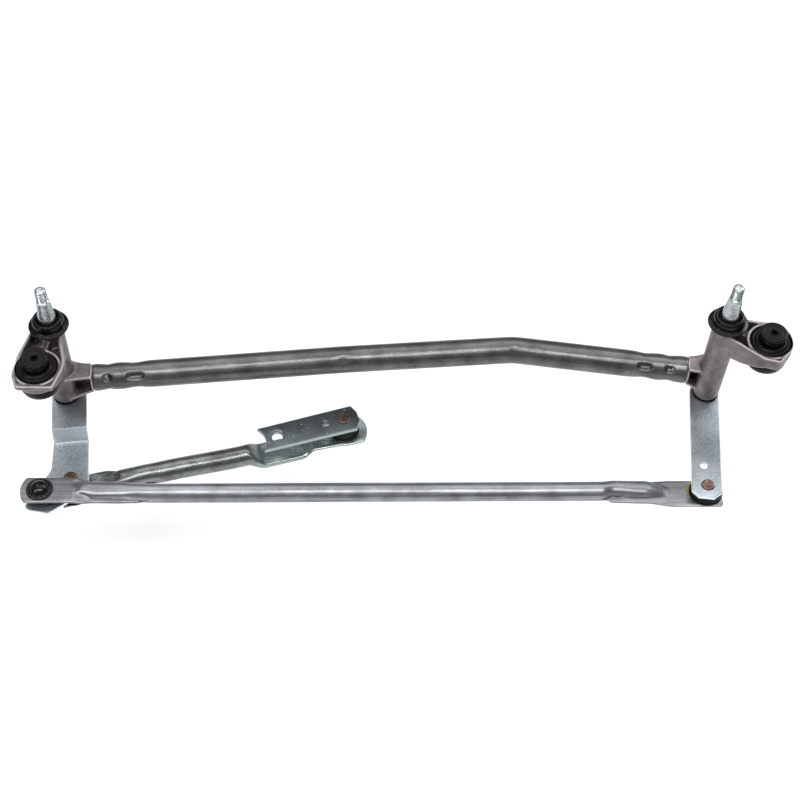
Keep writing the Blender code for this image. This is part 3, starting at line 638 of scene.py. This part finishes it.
def mountings(m):
    """Grommets with their screws on the arms, caps and washers at the barrels' ends."""
    rubber = [(7.0, 58.3), (12.5, 58.3), (15.6, 60.4), (16.7, 64), (16.7, 75.7), (13.5, 75.7), (13.5, 80.3),
              (16.6, 80.3), (16.7, 82.0), (16.2, 83.5), (15.0, 84.5), (13.9, 84.2), (13.4, 84.9),
              (12.2, 85.9), (10.6, 85.9), (10.2, 85.2), (7.0, 85.2)]
    cap = [(11.5, 87), (13.4, 87), (13.7, 88.8), (16.3, 89), (16.6, 89.6), (16.3, 90.3), (13.6, 90.8),
           (12.7, 91.9), (12.9, 94.2), (12.6, 96.4), (11.6, 97.8), (10.3, 98.2), (9.2, 97.6), (8.5, 96.8),
           (8.4, 96.2), (9.6, 96.1), (9.6, 90.3), (11.5, 90.3)]
    washer = [(6.3, -1.2), (11.3, -1.2), (11.3, -0.3), (6.3, -0.3)]
    for side, spindle in SPINDLES.items():
        centre = (spindle[0] + GROMMETS[side][0], spindle[1] + GROMMETS[side][1], 0)
        add_turned(side + "_grommet_rubber", rubber, "frame", m["rubber"], side + "_grommet",
                   "black_rubber", centre, closed=True, radius=0.8)
        screw(side, centre, m)
        add_turned(side + "_cap_moulding", cap, "frame", m["plastic"], side + "_spindle_cap",
                   "black_plastic", (*spindle, 0), closed=True, radius=0.5)
        add_turned(side + "_washer_moulding", washer, "frame", m["plastic"], side + "_lower_washer",
                   "black_plastic", (*spindle, 0), closed=True, radius=0.15)


def screw(side, centre, m):
    """Screw with a six-lobed recess sunk into its head."""
    recess_floor = 91.6
    outside = [(3.2, 94.7), (3.5, 95.0), (7.2, 95.0), (7.6, 94.82), (8.0, 95.0), (9.9, 95.0), (10.7, 94.75),
               (11.25, 94.2), (11.25, 92.4), (10.9, 92.05), (9.3, 91.7), (8.95, 91.2), (8.9, 90.1),
               (9.4, 89.6), (9.9, 89.3), (9.9, 86.3), (3.0, 86.2), (3.0, 49.2), (2.2, 48.0), (0.0, 48.0)]
    smooth = rounded_profile(outside, 0.25, 2)

    def column_at(a):
        lobe = 2.1 + 0.95 * (0.5 + 0.5 * math.cos(6 * a))
        return [(r, recess_floor) for r in (0.0, 0.8, 1.8, lobe)] + [(lobe + 0.05, 94.6)] + smooth

    add_mesh(side + "_screw_body", *wrapped(96, column_at), "frame", m["screw"], side + "_mount_screw",
             "black_steel", centre)


def spindle_column(a):
    """Outline of a spindle at the angle a: staked foot, shaft, knurled cone and thread."""
    column = [(0, -6.8), (5.2, -6.8), (6.2, -6.5), (6.6, -6.0), (6.6, -5.2), (6.3, -4.8), (5.0, -4.8),
              (5.0, -1.2), (6, -1.2), (6, 91.5), (5.4, 91.5), (5.4, 92.7), (6, 92.7), (6, 95.4),
              (6.2, 96.4)]
    column += [(6.6 + 0.62 * math.sin(b), 98.9 - 2.2 * math.cos(b)) for b in np.linspace(0.1, 1.5, 6)]
    knurl_low, knurl_high, ridges = 100.4, 117.2, 30
    for z in np.linspace(knurl_low, knurl_high, 18):
        fade = min(1.0, (z - knurl_low + 0.4) / 1.2, (knurl_high + 0.4 - z) / 1.2)
        groove = 0.4 * fade * (0.5 + 0.5 * math.cos(ridges * a))
        column.append((7.25 - 1.75 * (z - knurl_low) / 17.0 - groove, z))
    column += [(5.3, 118.0), (5.1, 118.5), (4.5, 118.8), (4.3, 119.2)]
    thread_pitch, crest = 1.25, 4.68
    for z in np.linspace(119.4, 129.6, 92):
        phase = (z / thread_pitch - a / math.tau) % 1.0
        fade = min(1.0, (z - 119.0) / 0.8, (130.0 - z) / 0.8)
        column.append((crest - 0.62 * abs(2 * phase - 1) * fade, z))
    return column + [(4.5, 129.9), (4.0, 130.5), (3.3, 130.9), (2.0, 131.0), (0, 131.0)]


def spindles(m):
    for side, spindle in SPINDLES.items():
        add_mesh(side + "_spindle_turned", *wrapped(120, spindle_column), side + "_rocker", m["spindle"],
                 side + "_spindle", "spindle_zinc", (*spindle, 0))


# ---------------------------------------------------------------- levers, crank and ball joints

def with_holes(sheet, x, y, holes, soft):
    """A sheet with round holes, each (centre, radius)."""
    for centre, radius in holes:
        sheet = smax(sheet, radius - np.hypot(x - centre[0], y - centre[1]), soft)
    return sheet


def left_lever(m):
    """Sheet lever with a joggle: its outer part, with both ball joints, lies lower than the spindle's."""
    grid = axes((-28, -118, -18), (29, 16, 0), 0.5)
    x, y, z = spread(grid)
    corners = [(-14.4, 14), (-8.9, -36.5), (-7.2, -71.5), (-25.6, -109), (-21.5, -113), (-4.9, -116.5),
               (26.6, -91), (25.4, -82), (21.0, -37), (15.7, 14)]
    flat = polygon_distance(x, y, fillet(corners, [10, 60, 12, 3, 4, 2, 6, 40, 60, 10]))
    along = -x * math.sin(LEFT_LEAN) + y * math.cos(LEFT_LEAN)
    depth, run = LEVER_TOP - LEVER_LOW, 6.4
    drop = np.clip((-along - 36.2) / run, 0, 1)
    bend = depth * drop
    # soft corners where the sheet turns down and levels out again
    bend = np.where(drop < 0.12, depth * drop ** 2 / 0.24, bend)
    bend = np.where(drop > 0.88, depth - depth * (1 - drop) ** 2 / 0.24, bend)
    slanted = np.clip(np.minimum(drop - 0.02, 0.98 - drop) / 0.1, 0, 1)
    steep = 1 + (math.hypot(1, depth / run) - 1) * slanted
    middle = LEVER_TOP - SHEET / 2 - bend
    sheet = smax(flat, np.abs(z - middle) / steep - SHEET / 2, 0.35)
    holes = [(centre, RIVET_HOLE_R) for centre in (LINK_BALL, DRIVE_BALL, (0, 0))]
    sheet = with_holes(sheet, x, y, holes, 0.1)
    add_field("left_lever_sheet", sheet, grid, "left_rocker", m["lever"], "left_lever", "zinc", (*LEFT, 0))


def right_lever(m):
    """Flat sheet lever, round at the spindle and cut off with bevelled corners at the ball."""
    grid = axes((-30, -115, -5), (14, 14, -1), 0.5)
    x, y, z = spread(grid)
    along = Vector(LINK_BALL).normalized()
    across = Vector((-along.y, along.x))
    half, middle, end = 12.55, -0.95, 112.2
    low, high = middle - half, middle + half
    local = arc((0, middle), half, 90, 270, 24)
    local += [(end - 5.6, low), (end - 4.2, low + 1.4), (end, low + 6.2), (end, high - 6.2),
              (end - 5.0, high - 1.4), (end - 6.4, high)]
    flat = polygon_distance(x, y, [tuple(along * u + across * v) for u, v in local])
    sheet = smax(flat, np.abs(z - (LEVER_TOP - SHEET / 2)) - SHEET / 2, 0.35)
    holes = ((LINK_BALL, RIVET_HOLE_R), ((0, 0), RIVET_HOLE_R), (along * 80 - across * 2.9, 3.2))
    sheet = with_holes(sheet, x, y, holes, 0.25)
    add_field("right_lever_sheet", sheet, grid, "right_rocker", m["lever"], "right_lever", "zinc",
              (*RIGHT, 0))


def motor_crank(m):
    """Thick flat crank, hollowed at the motor end, with the chamfered and toothed shaft hole."""
    grid = axes((-78, -36, -25.5), (15, 15, -19.5), 0.4)
    x, y, z = spread(grid)
    length = 74.5
    along = Vector((math.cos(CRANK_TURN), math.sin(CRANK_TURN)))
    across = Vector((-along.y, along.x))
    local = arc((length + 16, 0), 19.0, 219.9, 140.1, 24)
    local += [(-7.5, 13.2), (-12.4, 6.0), (-12.6, -4.5), (-9.5, -12.3)]
    flat = polygon_distance(x, y, [tuple(along * u + across * v) for u, v in local])
    sheet = smax(flat, np.abs(z - (CRANK_TOP - CRANK_SHEET / 2)) - CRANK_SHEET / 2, 0.5)
    sheet = with_holes(sheet, x, y, [((0, 0), RIVET_HOLE_R)], 0.2)
    sheet = with_holes(sheet, x, y, [(along * 17.3, 3.3)], 0.5)
    shaft = along * CRANK_THROW
    dx, dy = x - shaft.x, y - shaft.y
    spot = np.hypot(dx, dy)
    teeth = 0.22 * np.cos(24 * np.arctan2(dy, dx))
    sheet = smax(sheet, 4.85 + teeth - spot, 0.2)
    cone = (6.3 + (z - CRANK_TOP) * 0.95 - spot) * 0.72
    sheet = smax(sheet, cone, 0.2)
    add_field("motor_crank_sheet", sheet, grid, "crank_set", m["crank"], "motor_crank", "crank_zinc",
              (*CRANK_BALL, 0))


def ball_stud(name, xy, far_face, near_face, ball_z, head_r, body, m):
    """Ball riveted through a lever: it stands on the near face, its staked head on the far one."""
    reach = abs(ball_z - near_face)
    sheet = abs(near_face - far_face)
    ball_r, neck_r = 6.3, 3.6
    ball = [(ball_r * math.sin(a), reach - ball_r * math.cos(a))
            for a in np.linspace(math.asin(neck_r / ball_r), math.pi, 16)]
    ball[-1] = (0, reach + ball_r)
    head = [(0, -sheet - 0.8), (head_r - 2.5, -sheet - 0.95), (head_r - 1.2, -sheet - 1.0),
            (head_r - 0.2, -sheet - 0.65), (head_r, -sheet - 0.3), (5.0, -sheet - 0.3), (5.0, 0.3),
            (6.4, 0.3), (6.4, 1.6), (neck_r, 1.8)]
    add_turned(name + "_stud", head + ball, body, m["rivet"], name, "rivet_copper", (*xy, near_face),
               flip=ball_z < near_face, radius=0.25, sides=64)


def ball_socket(prefix, xy, plate_z, near_face, boot_r, body, m):
    """Plastic socket clipped into a rod's flat end, and the rubber boot between the rod and the lever."""
    half = SHEET / 2 + 0.3
    cavity = [(6.6 * math.cos(a), 6.6 * math.sin(a)) for a in np.radians(np.linspace(90, -38, 14))]
    cavity[0] = (0, 6.6)
    dome = [(8.9 * math.cos(a), 8.3 * math.sin(a)) for a in np.radians(np.linspace(24, 90, 16))]
    dome[-1] = (0, 8.3)
    rim = [(9.2, cavity[-1][1]), (9.2, -half), (8.3, -half), (8.3, half), (11.2, half), (11.2, half + 0.7),
           (10.6, half + 1.3), (9.3, half + 1.2)]
    at, flip = (*xy, plate_z), near_face > plate_z
    add_turned(prefix + "_socket_moulding", cavity + rim + dome, body, m["socket"], prefix + "_socket",
               "black_plastic", at, flip=flip, radius=0.3)
    top = abs(near_face - plate_z) - 0.3
    boot = [(9.6, -half), (boot_r - 0.3, -half), (boot_r, -half - 0.8), (boot_r, -half - 2.0),
            (boot_r - 0.9, -half - 3.0), (boot_r - 0.9, -half - 3.8), (boot_r - 1.8, -top + 0.8),
            (boot_r - 2.6, -top), (7.0, -top), (7.0, -6.4), (9.6, -4.8)]
    add_turned(prefix + "_boot_rubber", boot, body, m["boot"], prefix + "_boot", "black_rubber", at,
               flip=flip, closed=True, radius=0.5)


def ball_joints(m):
    link = (LEFT[0] + LINK_BALL[0], LEFT[1] + LINK_BALL[1])
    far_link = (RIGHT[0] + LINK_BALL[0], RIGHT[1] + LINK_BALL[1])
    drive = (LEFT[0] + DRIVE_BALL[0], LEFT[1] + DRIVE_BALL[1])
    low, high, crank = LEVER_LOW - SHEET, LEVER_TOP - SHEET, CRANK_TOP - CRANK_SHEET
    ball_stud("left_link_ball", link, low, LEVER_LOW, LINK_PLATE_LEFT, 5.8, "left_rocker", m)
    ball_stud("left_drive_ball", drive, LEVER_LOW, low, DRIVE_PLATE_LEFT, 5.8, "left_rocker", m)
    ball_stud("right_link_ball", far_link, LEVER_TOP, high, LINK_PLATE_RIGHT, 5.4, "right_rocker", m)
    ball_stud("crank_ball", CRANK_BALL, CRANK_TOP, crank, DRIVE_PLATE_CRANK, 5.7, "crank_set", m)
    ball_socket("link_rod_left", link, LINK_PLATE_LEFT, LEVER_LOW, 13.0, "link_rod_set", m)
    ball_socket("link_rod_right", far_link, LINK_PLATE_RIGHT, high, 14.0, "link_rod_set", m)
    ball_socket("drive_rod_left", drive, DRIVE_PLATE_LEFT, low, 16.6, "drive_rod_set", m)
    ball_socket("drive_rod_crank", CRANK_BALL, DRIVE_PLATE_CRANK, crank, 13.0, "drive_rod_set", m)
    grease_smear(far_link, m)


def grease_smear(ball, m):
    """Amber grease squeezed out between the boot and the plate, thick at the left and gone at the right."""
    rows, around = 9, 160
    verts = []
    for k in range(around + 1):
        a = math.radians(100 + 100 * k / around)
        end = min(1.0, k / 14, (around - k) / 60)
        wide = (0.9 + 0.35 * math.sin(5 * a) + 0.2 * math.sin(11 * a + 1)) * end ** 0.5 + 0.02
        for i in range(rows):
            b = math.pi * i / (rows - 1)
            radius = 13.9 + 0.5 * wide + wide * math.cos(b)
            verts.append((radius * math.cos(a), radius * math.sin(a), 1.5 * wide * math.sin(b)))
    faces = skin(around + 1, rows, rows_close=False, row_closes=True)
    faces += [tuple(range(rows)), tuple(around * rows + i for i in range(rows))]
    add_mesh("link_rod_grease", verts, faces, "link_rod_set", m["grease"], None, None,
             (*ball, LINK_PLATE_RIGHT + SHEET / 2 + 0.02))


# ---------------------------------------------------------------- rods and the cross tube

def eased(stations, at):
    """Values of the stations at the distances at, eased between them."""
    s = np.array([row[0] for row in stations], float)
    values = np.array([row[1:] for row in stations], float)
    i = np.clip(np.searchsorted(s, at, side="right") - 1, 0, len(s) - 2)
    t = np.clip((at - s[i]) / (s[i + 1] - s[i]), 0, 1)
    t = (t * t * (3 - 2 * t))[:, None]
    return values[i] * (1 - t) + values[i + 1] * t


def drill(piece, centre, radius):
    """Cut an upright hole, 10 mm deep about its centre, through a piece."""
    verts, faces = turned([(0, -5), (radius, -5), (radius, 5), (0, 5)], radius=0.01)
    mesh = bpy.data.meshes.new("hole")
    mesh.from_pydata([tuple((Vector(v) + centre + OFFSET) * MM) for v in verts], [], faces)
    clean(mesh)
    tool = bpy.data.objects.new("hole", mesh)
    bpy.context.scene.collection.objects.link(tool)
    cut = piece.modifiers.new("hole", "BOOLEAN")
    cut.object = tool
    cut.operation = "DIFFERENCE"
    cut.solver = "EXACT"
    bpy.context.view_layer.update()
    result = bpy.data.meshes.new_from_object(piece.evaluated_get(bpy.context.evaluated_depsgraph_get()))
    piece.modifiers.clear()
    piece.data = result
    bpy.data.objects.remove(tool)


def rod(name, stations, distances, start, turn, material, holes):
    """Pressed tube swept along its length.

    Each station is (distance, plate half width, plate z, tube half width, tube half height, boxiness,
    tube z, tube shift sideways): a flat sheet and a tube of any fullness, merged with a soft crease.
    """
    side = 40
    theta = np.linspace(0, math.pi, side)
    distances = np.unique(np.round(np.concatenate(distances), 3))
    verts = []
    for d, (plate, plate_z, a, h, n, tube_z, shift) in zip(distances, eased(stations, distances)):
        y = max(plate, abs(shift) + a) * np.cos(theta)
        edge = np.clip(np.abs(y) / max(plate, 0.01), 0, 1)
        sheet = np.where(np.abs(y) <= plate + 1e-6, SHEET / 2 * (1 - edge ** 10) ** 0.5, -20.0)
        inner = np.clip(np.abs(y - shift) / max(a, 0.01), 0, 1)
        tube = np.where(np.abs(y - shift) <= a + 1e-6, h * (1 - inner ** n) ** (1 / n), -20.0)
        top = smax(plate_z + sheet, tube_z + tube, 1.2)
        bottom = smin(plate_z - sheet, tube_z - tube, 1.2)
        middle = (top + bottom) / 2
        upper, lower = np.maximum(top, middle), np.minimum(bottom, middle)
        verts += [(d, *point) for point in zip(y, upper)]
        verts += [(d, *point) for point in zip(y[::-1], lower[::-1])]
    count = 2 * side
    faces = skin(len(distances), count, rows_close=False, row_closes=True)
    for r in (0, (len(distances) - 1) * count):
        faces += [(r + i, r + i + 1, r + count - 2 - i, r + count - 1 - i) for i in range(side - 1)]
    verts = np.array(verts) @ np.array(Matrix.Rotation(turn, 3, "Z")).T
    piece = add_mesh(name + "_tube", verts, faces, name + "_set", material, name, "rod_steel", start)
    for distance, height, radius in holes:
        along = Vector((distance * math.cos(turn), distance * math.sin(turn), height))
        drill(piece, Vector(start) + along, radius)
    piece.data.shade_smooth()
    piece.data.set_sharp_from_angle(angle=math.radians(50))


NO_TUBE = (0.01, 0.01, 2.0)      # tube half width, half height and boxiness where the rod is a flat plate
END_R = 21.6                     # curve of the rods' round ends


def end_stations(ball, side, end, half, z):
    """Stations that curve a flattened end off, from its corners outwards."""
    rows = []
    for share in np.cos(np.linspace(0, 1.5, 12)):
        reach = end - END_R + math.sqrt(END_R ** 2 - (share * half) ** 2)
        rows.append((ball + side * reach, share * half, z, *NO_TUBE, z, 0.0))
    return rows


def link_rod(m):
    """Straight rod: the plate at its left end lies high, the one at its right end low."""
    start = (LEFT[0] + LINK_BALL[0], LEFT[1] + LINK_BALL[1], 0.0)
    far, z0, z1, axis = PITCH, LINK_PLATE_LEFT, LINK_PLATE_RIGHT, LINK_AXIS
    left_end = end_stations(0, -1, 16.15, 12.7, z0)[::-1]
    stations = left_end + [
        (20, 12.7, z0, *NO_TUBE, z0, 1.5),
        (27, 12.7, z0 - 0.2, 5.0, 1.6, 2.4, z0 - 0.6, 2.0),
        (35, 12.2, -7.4, 6.8, 4.6, 2.3, -7.0, 2.2),
        (46, 10.0, -9.9, 8.0, 4.9, 2.3, -7.9, 1.4),
        (66, 9.4, -11.2, 7.8, 5.1, 2.2, -7.8, 1.2),
        (80, 8.4, -12.2, 7.8, 7.4, 2.0, -9.6, 0.6),
        (93, 6.0, -12.0, LINK_R, LINK_R, 2.0, axis, 0.0),
        (far - 88, 6.0, -12.0, LINK_R, LINK_R, 2.0, axis, 0.0),
        (far - 78, 10.2, -12.6, 7.4, 6.8, 2.1, -10.8, 2.4),
        (far - 52, 10.8, -12.9, 7.8, 6.0, 2.3, -11.3, 2.0),
        (far - 26, 13.1, z1, 5.0, 1.0, 2.0, z1, 0.6),
        (far - 22, 13.1, z1, *NO_TUBE, z1, 0.0),
        (far + 11.8, 13.1, z1, *NO_TUBE, z1, 0.0),
        (far + 13.4, 11.4, z1, *NO_TUBE, z1, 0.0)]
    distances = [[row[0] for row in left_end], np.arange(-6, 100, 1.3), np.arange(100, far - 92, 12),
                 np.arange(far - 92, far + 13.4, 1.3), [far + 13.4]]
    rod("link_rod", stations, distances, start, 0.0, m["link"], ((0.0, z0, 8.6), (far, z1, 8.6)))


def drive_rod(m):
    """Rod with a low pressed step before its crank end, under the crank's motor end at rest."""
    start = Vector((LEFT[0] + DRIVE_BALL[0], LEFT[1] + DRIVE_BALL[1], 0.0))
    span = Vector((*CRANK_BALL, 0.0)) - start
    far, turn = span.length, math.atan2(span.y, span.x)
    z0, z1 = DRIVE_PLATE_LEFT, DRIVE_PLATE_CRANK
    left_end = end_stations(0, -1, 16.4, 14.25, z0)[::-1]
    right_end = end_stations(far, 1, 20.2, 16.0, z1)
    stations = left_end + [
        (20, 14.25, z0, *NO_TUBE, z0, 1.5),
        (28, 14.2, z0 - 0.4, 6.0, 2.4, 2.4, z0 - 0.4, 2.0),
        (42, 12.2, -36.6, 8.4, 6.2, 2.2, -34.6, 2.0),
        (60, 9.8, -38.8, 8.6, 8.4, 2.0, DRIVE_AXIS_LEFT, 1.2),
        (76, 7.0, -37.0, DRIVE_R, DRIVE_R, 2.0, DRIVE_AXIS_LEFT - 0.4, 0.0),
        (far - 90, 7.0, -41.0, DRIVE_R, DRIVE_R, 2.0, DRIVE_AXIS_CRANK, 0.0),
        (far - 74, 12.8, -46.4, 12.5, 3.0, 6.0, -46.4, 0.0),
        (far - 41, 12.9, -46.5, 12.6, 2.9, 6.0, -46.5, 0.0),
        (far - 30, 13.0, z1, 5.6, 1.4, 2.4, z1 + 0.4, 2.0),
        (far - 22, 13.4, z1, 2.0, 0.4, 2.0, z1, 1.0),
        (far - 9, 14.2, z1, *NO_TUBE, z1, 0.0),
        (far + 2, 16.0, z1, *NO_TUBE, z1, 0.0)] + right_end
    distances = [[row[0] for row in left_end], np.arange(-6, 80, 1.3), np.arange(80, far - 94, 12),
                 np.arange(far - 94, far + 13, 1.2), [row[0] for row in right_end]]
    holes = ((0.0, z0, 8.6), (far, z1, 8.6), (far - 26.5, z1, 1.7))
    rod("drive_rod", stations, distances, tuple(start), turn, m["drive"], holes)


def bend_points(points, radii, step):
    """Points along a path with an arc at each inner corner, about one step apart."""
    path = [points[0]]
    for before, corner, after, radius in zip(points, points[1:], points[2:], radii):
        back, ahead = (before - corner).normalized(), (after - corner).normalized()
        half = back.angle(ahead) / 2
        trim = radius / math.tan(half)
        first = corner + back * trim
        centre = corner + (back + ahead).normalized() * radius / math.sin(half)
        sweep = math.pi - 2 * half
        way = -1 if back.cross(ahead).z > 0 else 1
        count = max(4, int(sweep * radius / step))
        path += [centre + Matrix.Rotation(way * sweep * k / count, 3, "Z") @ (first - centre)
                 for k in range(count + 1)]
    return path + [points[-1]]


def cross_tube(m):
    """Drawn tube, pressed into the spigots from four sides at each end, and dented at its bends."""
    corners = [Vector((*point, 0)) for point in (TUBE_LEFT, TUBE_MID, TUBE_BEND, TUBE_RIGHT)]
    rough = bend_points(corners, (120.0, 60.0), 3.0)
    lengths = np.concatenate([[0], np.cumsum([(b - a).length for a, b in zip(rough, rough[1:])])])
    total = lengths[-1]
    mid = (corners[1] - corners[0]).length
    bend = mid + (corners[2] - corners[1]).length
    marks = [np.arange(0, 56, 0.6), np.arange(56, total - 52, 3.0), np.arange(total - 52, total, 0.6),
             np.arange(mid - 18, mid + 18, 0.9), np.arange(bend - 22, bend + 22, 0.9), [total]]
    marks = np.unique(np.round(np.concatenate(marks), 2))
    sides, wall = 96, 1.5
    first_quarter = math.radians(138)
    angles = math.tau * np.arange(sides) / sides
    # dents at each end: distance, half length, half width, depth, flat share of the length
    dents = ((12.5, 4.6, 4.0, 3.4, 0.0), (36.0, 8.4, 3.8, 3.0, 0.4),
             (total - 15.0, 4.6, 3.6, 3.0, 0.2), (total - 36.0, 7.0, 3.8, 3.0, 0.35))
    # soft hollow around each of them: distance, length
    hollows = ((12.5, 5.0), (36.0, 8.0), (total - 15.0, 5.0), (total - 36.0, 8.0))

    def press(s):
        """How far the wall is pushed in all around, at distance s from the left end."""
        depth = np.zeros(sides)
        for quarter in range(4):
            off = (angles - first_quarter - quarter * math.pi / 2 + math.pi) % math.tau - math.pi
            wide = off * TUBE_R
            for centre, long, broad, deep, flat in dents:
                along = max(abs((s - centre) / long) - flat, 0.0) / (1 - flat)
                ring = np.minimum(np.hypot(along, wide / broad), 1.0)
                depth = np.maximum(depth, deep * (1 - ring ** 2.8) ** 1.2)
            for centre, long in hollows:
                depth += 1.0 * math.exp(-((s - centre) / long) ** 2) * np.exp(-(wide / 8.5) ** 2)
        off = (angles - first_quarter + math.pi) % math.tau - math.pi
        depth += 0.9 * math.exp(-((s - mid) / 5.0) ** 2) * np.exp(-(off * TUBE_R / 4.5) ** 2)
        depth += 0.8 * math.exp(-((s - bend) / 4.0) ** 2) * np.exp(-(off * TUBE_R / 7.0) ** 2)
        return depth

    def frame_at(s):
        """Point of the tube's axis at distance s, and the direction across it."""
        i = int(np.clip(np.searchsorted(lengths, s, side="right") - 1, 0, len(rough) - 2))
        share = (s - lengths[i]) / (lengths[i + 1] - lengths[i])
        here = (rough[i + 1] - rough[i]).normalized()
        before = (rough[i] - rough[i - 1]).normalized() if i else here
        after = (rough[i + 2] - rough[i + 1]).normalized() if i + 2 < len(rough) else here
        start, stop = before + here, here + after
        along = (start.normalized() * (1 - share) + stop.normalized() * share).normalized()
        return rough[i] * (1 - share) + rough[i + 1] * share, Vector((-along.y, along.x, 0))

    def ring(s, radius):
        """Points around the tube; the surface grain's own coordinates are noted with them."""
        centre, side = frame_at(s)
        across = np.outer(radius * np.cos(angles), np.array(side))
        grain.append(np.stack([np.full(sides, s), TUBE_R * np.cos(angles), TUBE_R * np.sin(angles)], 1))
        return np.array(centre) + across + np.outer(radius * np.sin(angles), (0, 0, 1))

    grain = []
    loops = [ring(s, TUBE_R - press(s) - 0.3 * math.exp(-(min(s, total - s) / 0.9) ** 2)) for s in marks]
    loops += [ring(s, TUBE_R - wall - press(s).max()) for s in marks[::-1][::4]]
    loops += [ring(0.0, TUBE_R - wall)]
    faces = skin(len(loops), sides, row_closes=True)
    add_mesh("cross_tube_drawn", np.concatenate(loops), faces, "frame", m["tube"], "cross_tube",
             "tube_steel", (0, 0, TUBE_Z), sharp=60, grain=np.concatenate(grain))


# ---------------------------------------------------------------- pieces kept from the CAD

def kept_nodes(m):
    kept = {"mount_sleeve": "hidden_zinc", "lower_bush": "bronze", "upper_bush": "bronze",
            "thrust_washer": "hidden_zinc", "circlip": "screw", "shaft_seal": "rubber"}
    for side in SPINDLES:
        for part, key in kept.items():
            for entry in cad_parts[f"{side}_{part}"].material_slots:
                entry.material = m[key]


# ---------------------------------------------------------------- studio

def studio():
    scene = bpy.context.scene
    scene.view_settings.view_transform = "Standard"
    half, floor_z = 6.0, cad_low.z - 0.16
    corners = [(half * x, half * y, floor_z) for x, y in ((-1, -1), (1, -1), (1, 1), (-1, 1))]
    mesh = bpy.data.meshes.new("floor")
    mesh.from_pydata(corners, [], [(0, 1, 2, 3)])
    floor = bpy.data.objects.new("floor", mesh)
    scene.collection.objects.link(floor)
    material, tree, shader = new_material("floor_paper")
    shader.inputs["Roughness"].default_value = 0.9
    shader.inputs["Emission Color"].default_value = (1, 1, 1, 1)
    shader.inputs["Emission Strength"].default_value = 0.14
    shade = ramp(tree, noise(tree, place(tree), 0.02, 2.0), [(0.3, 0.93), (0.7, 0.96)])
    tree.links.new(shade, shader.inputs["Base Color"])
    mesh.materials.append(material)

    world = bpy.data.worlds.new("studio")
    world.use_nodes = True
    sky = world.node_tree.nodes["Background"]
    sky.inputs["Color"].default_value = (0.86, 0.9, 0.95, 1)
    sky.inputs["Strength"].default_value = 0.3
    scene.world = world

    def area(name, at, size_x, size_y, power, look=(0, 0, 0)):
        data = bpy.data.lights.new(name, "AREA")
        data.shape = "RECTANGLE"
        data.size, data.size_y = size_x, size_y
        data.energy = power
        lamp = bpy.data.objects.new(name, data)
        scene.collection.objects.link(lamp)
        lamp.location = at
        lamp.rotation_euler = (Vector(look) - Vector(at)).to_track_quat("-Z", "Y").to_euler()

    area("key", (0, -0.75, 1.7), 1.8, 0.45, 22)
    area("top", (0, 0.9, 1.9), 2.6, 1.6, 20)
    area("side", (-1.2, -0.7, 1.0), 0.4, 0.4, 5)
    area("rim", (1.55, 1.1, 1.4), 0.7, 0.7, 12, (0.1, 0, 0))

    data = bpy.data.cameras.new("camera")
    camera = bpy.data.objects.new("camera", data)
    scene.collection.objects.link(camera)
    stand = Matrix.Translation((Vector((-37.05, -771.87, 954.24)) + OFFSET) * MM)
    pan, tilt, roll = math.radians(-0.74), math.radians(35.04), math.radians(0.35)
    camera.matrix_world = (stand @ Matrix.Rotation(pan, 4, "Z") @ Matrix.Rotation(tilt, 4, "X")
                           @ Matrix.Rotation(roll, 4, "Z"))
    data.sensor_width = 36.0
    data.lens = 63.33
    data.shift_x = 0.0564
    data.shift_y = 0.1118
    data.clip_start = 0.01
    scene.camera = camera


def main():
    m = make_materials()
    housings(m)
    mountings(m)
    spindles(m)
    left_lever(m)
    right_lever(m)
    motor_crank(m)
    ball_joints(m)
    link_rod(m)
    drive_rod(m)
    cross_tube(m)
    kept_nodes(m)
    studio()


main()
bpy.context.view_layer.update()
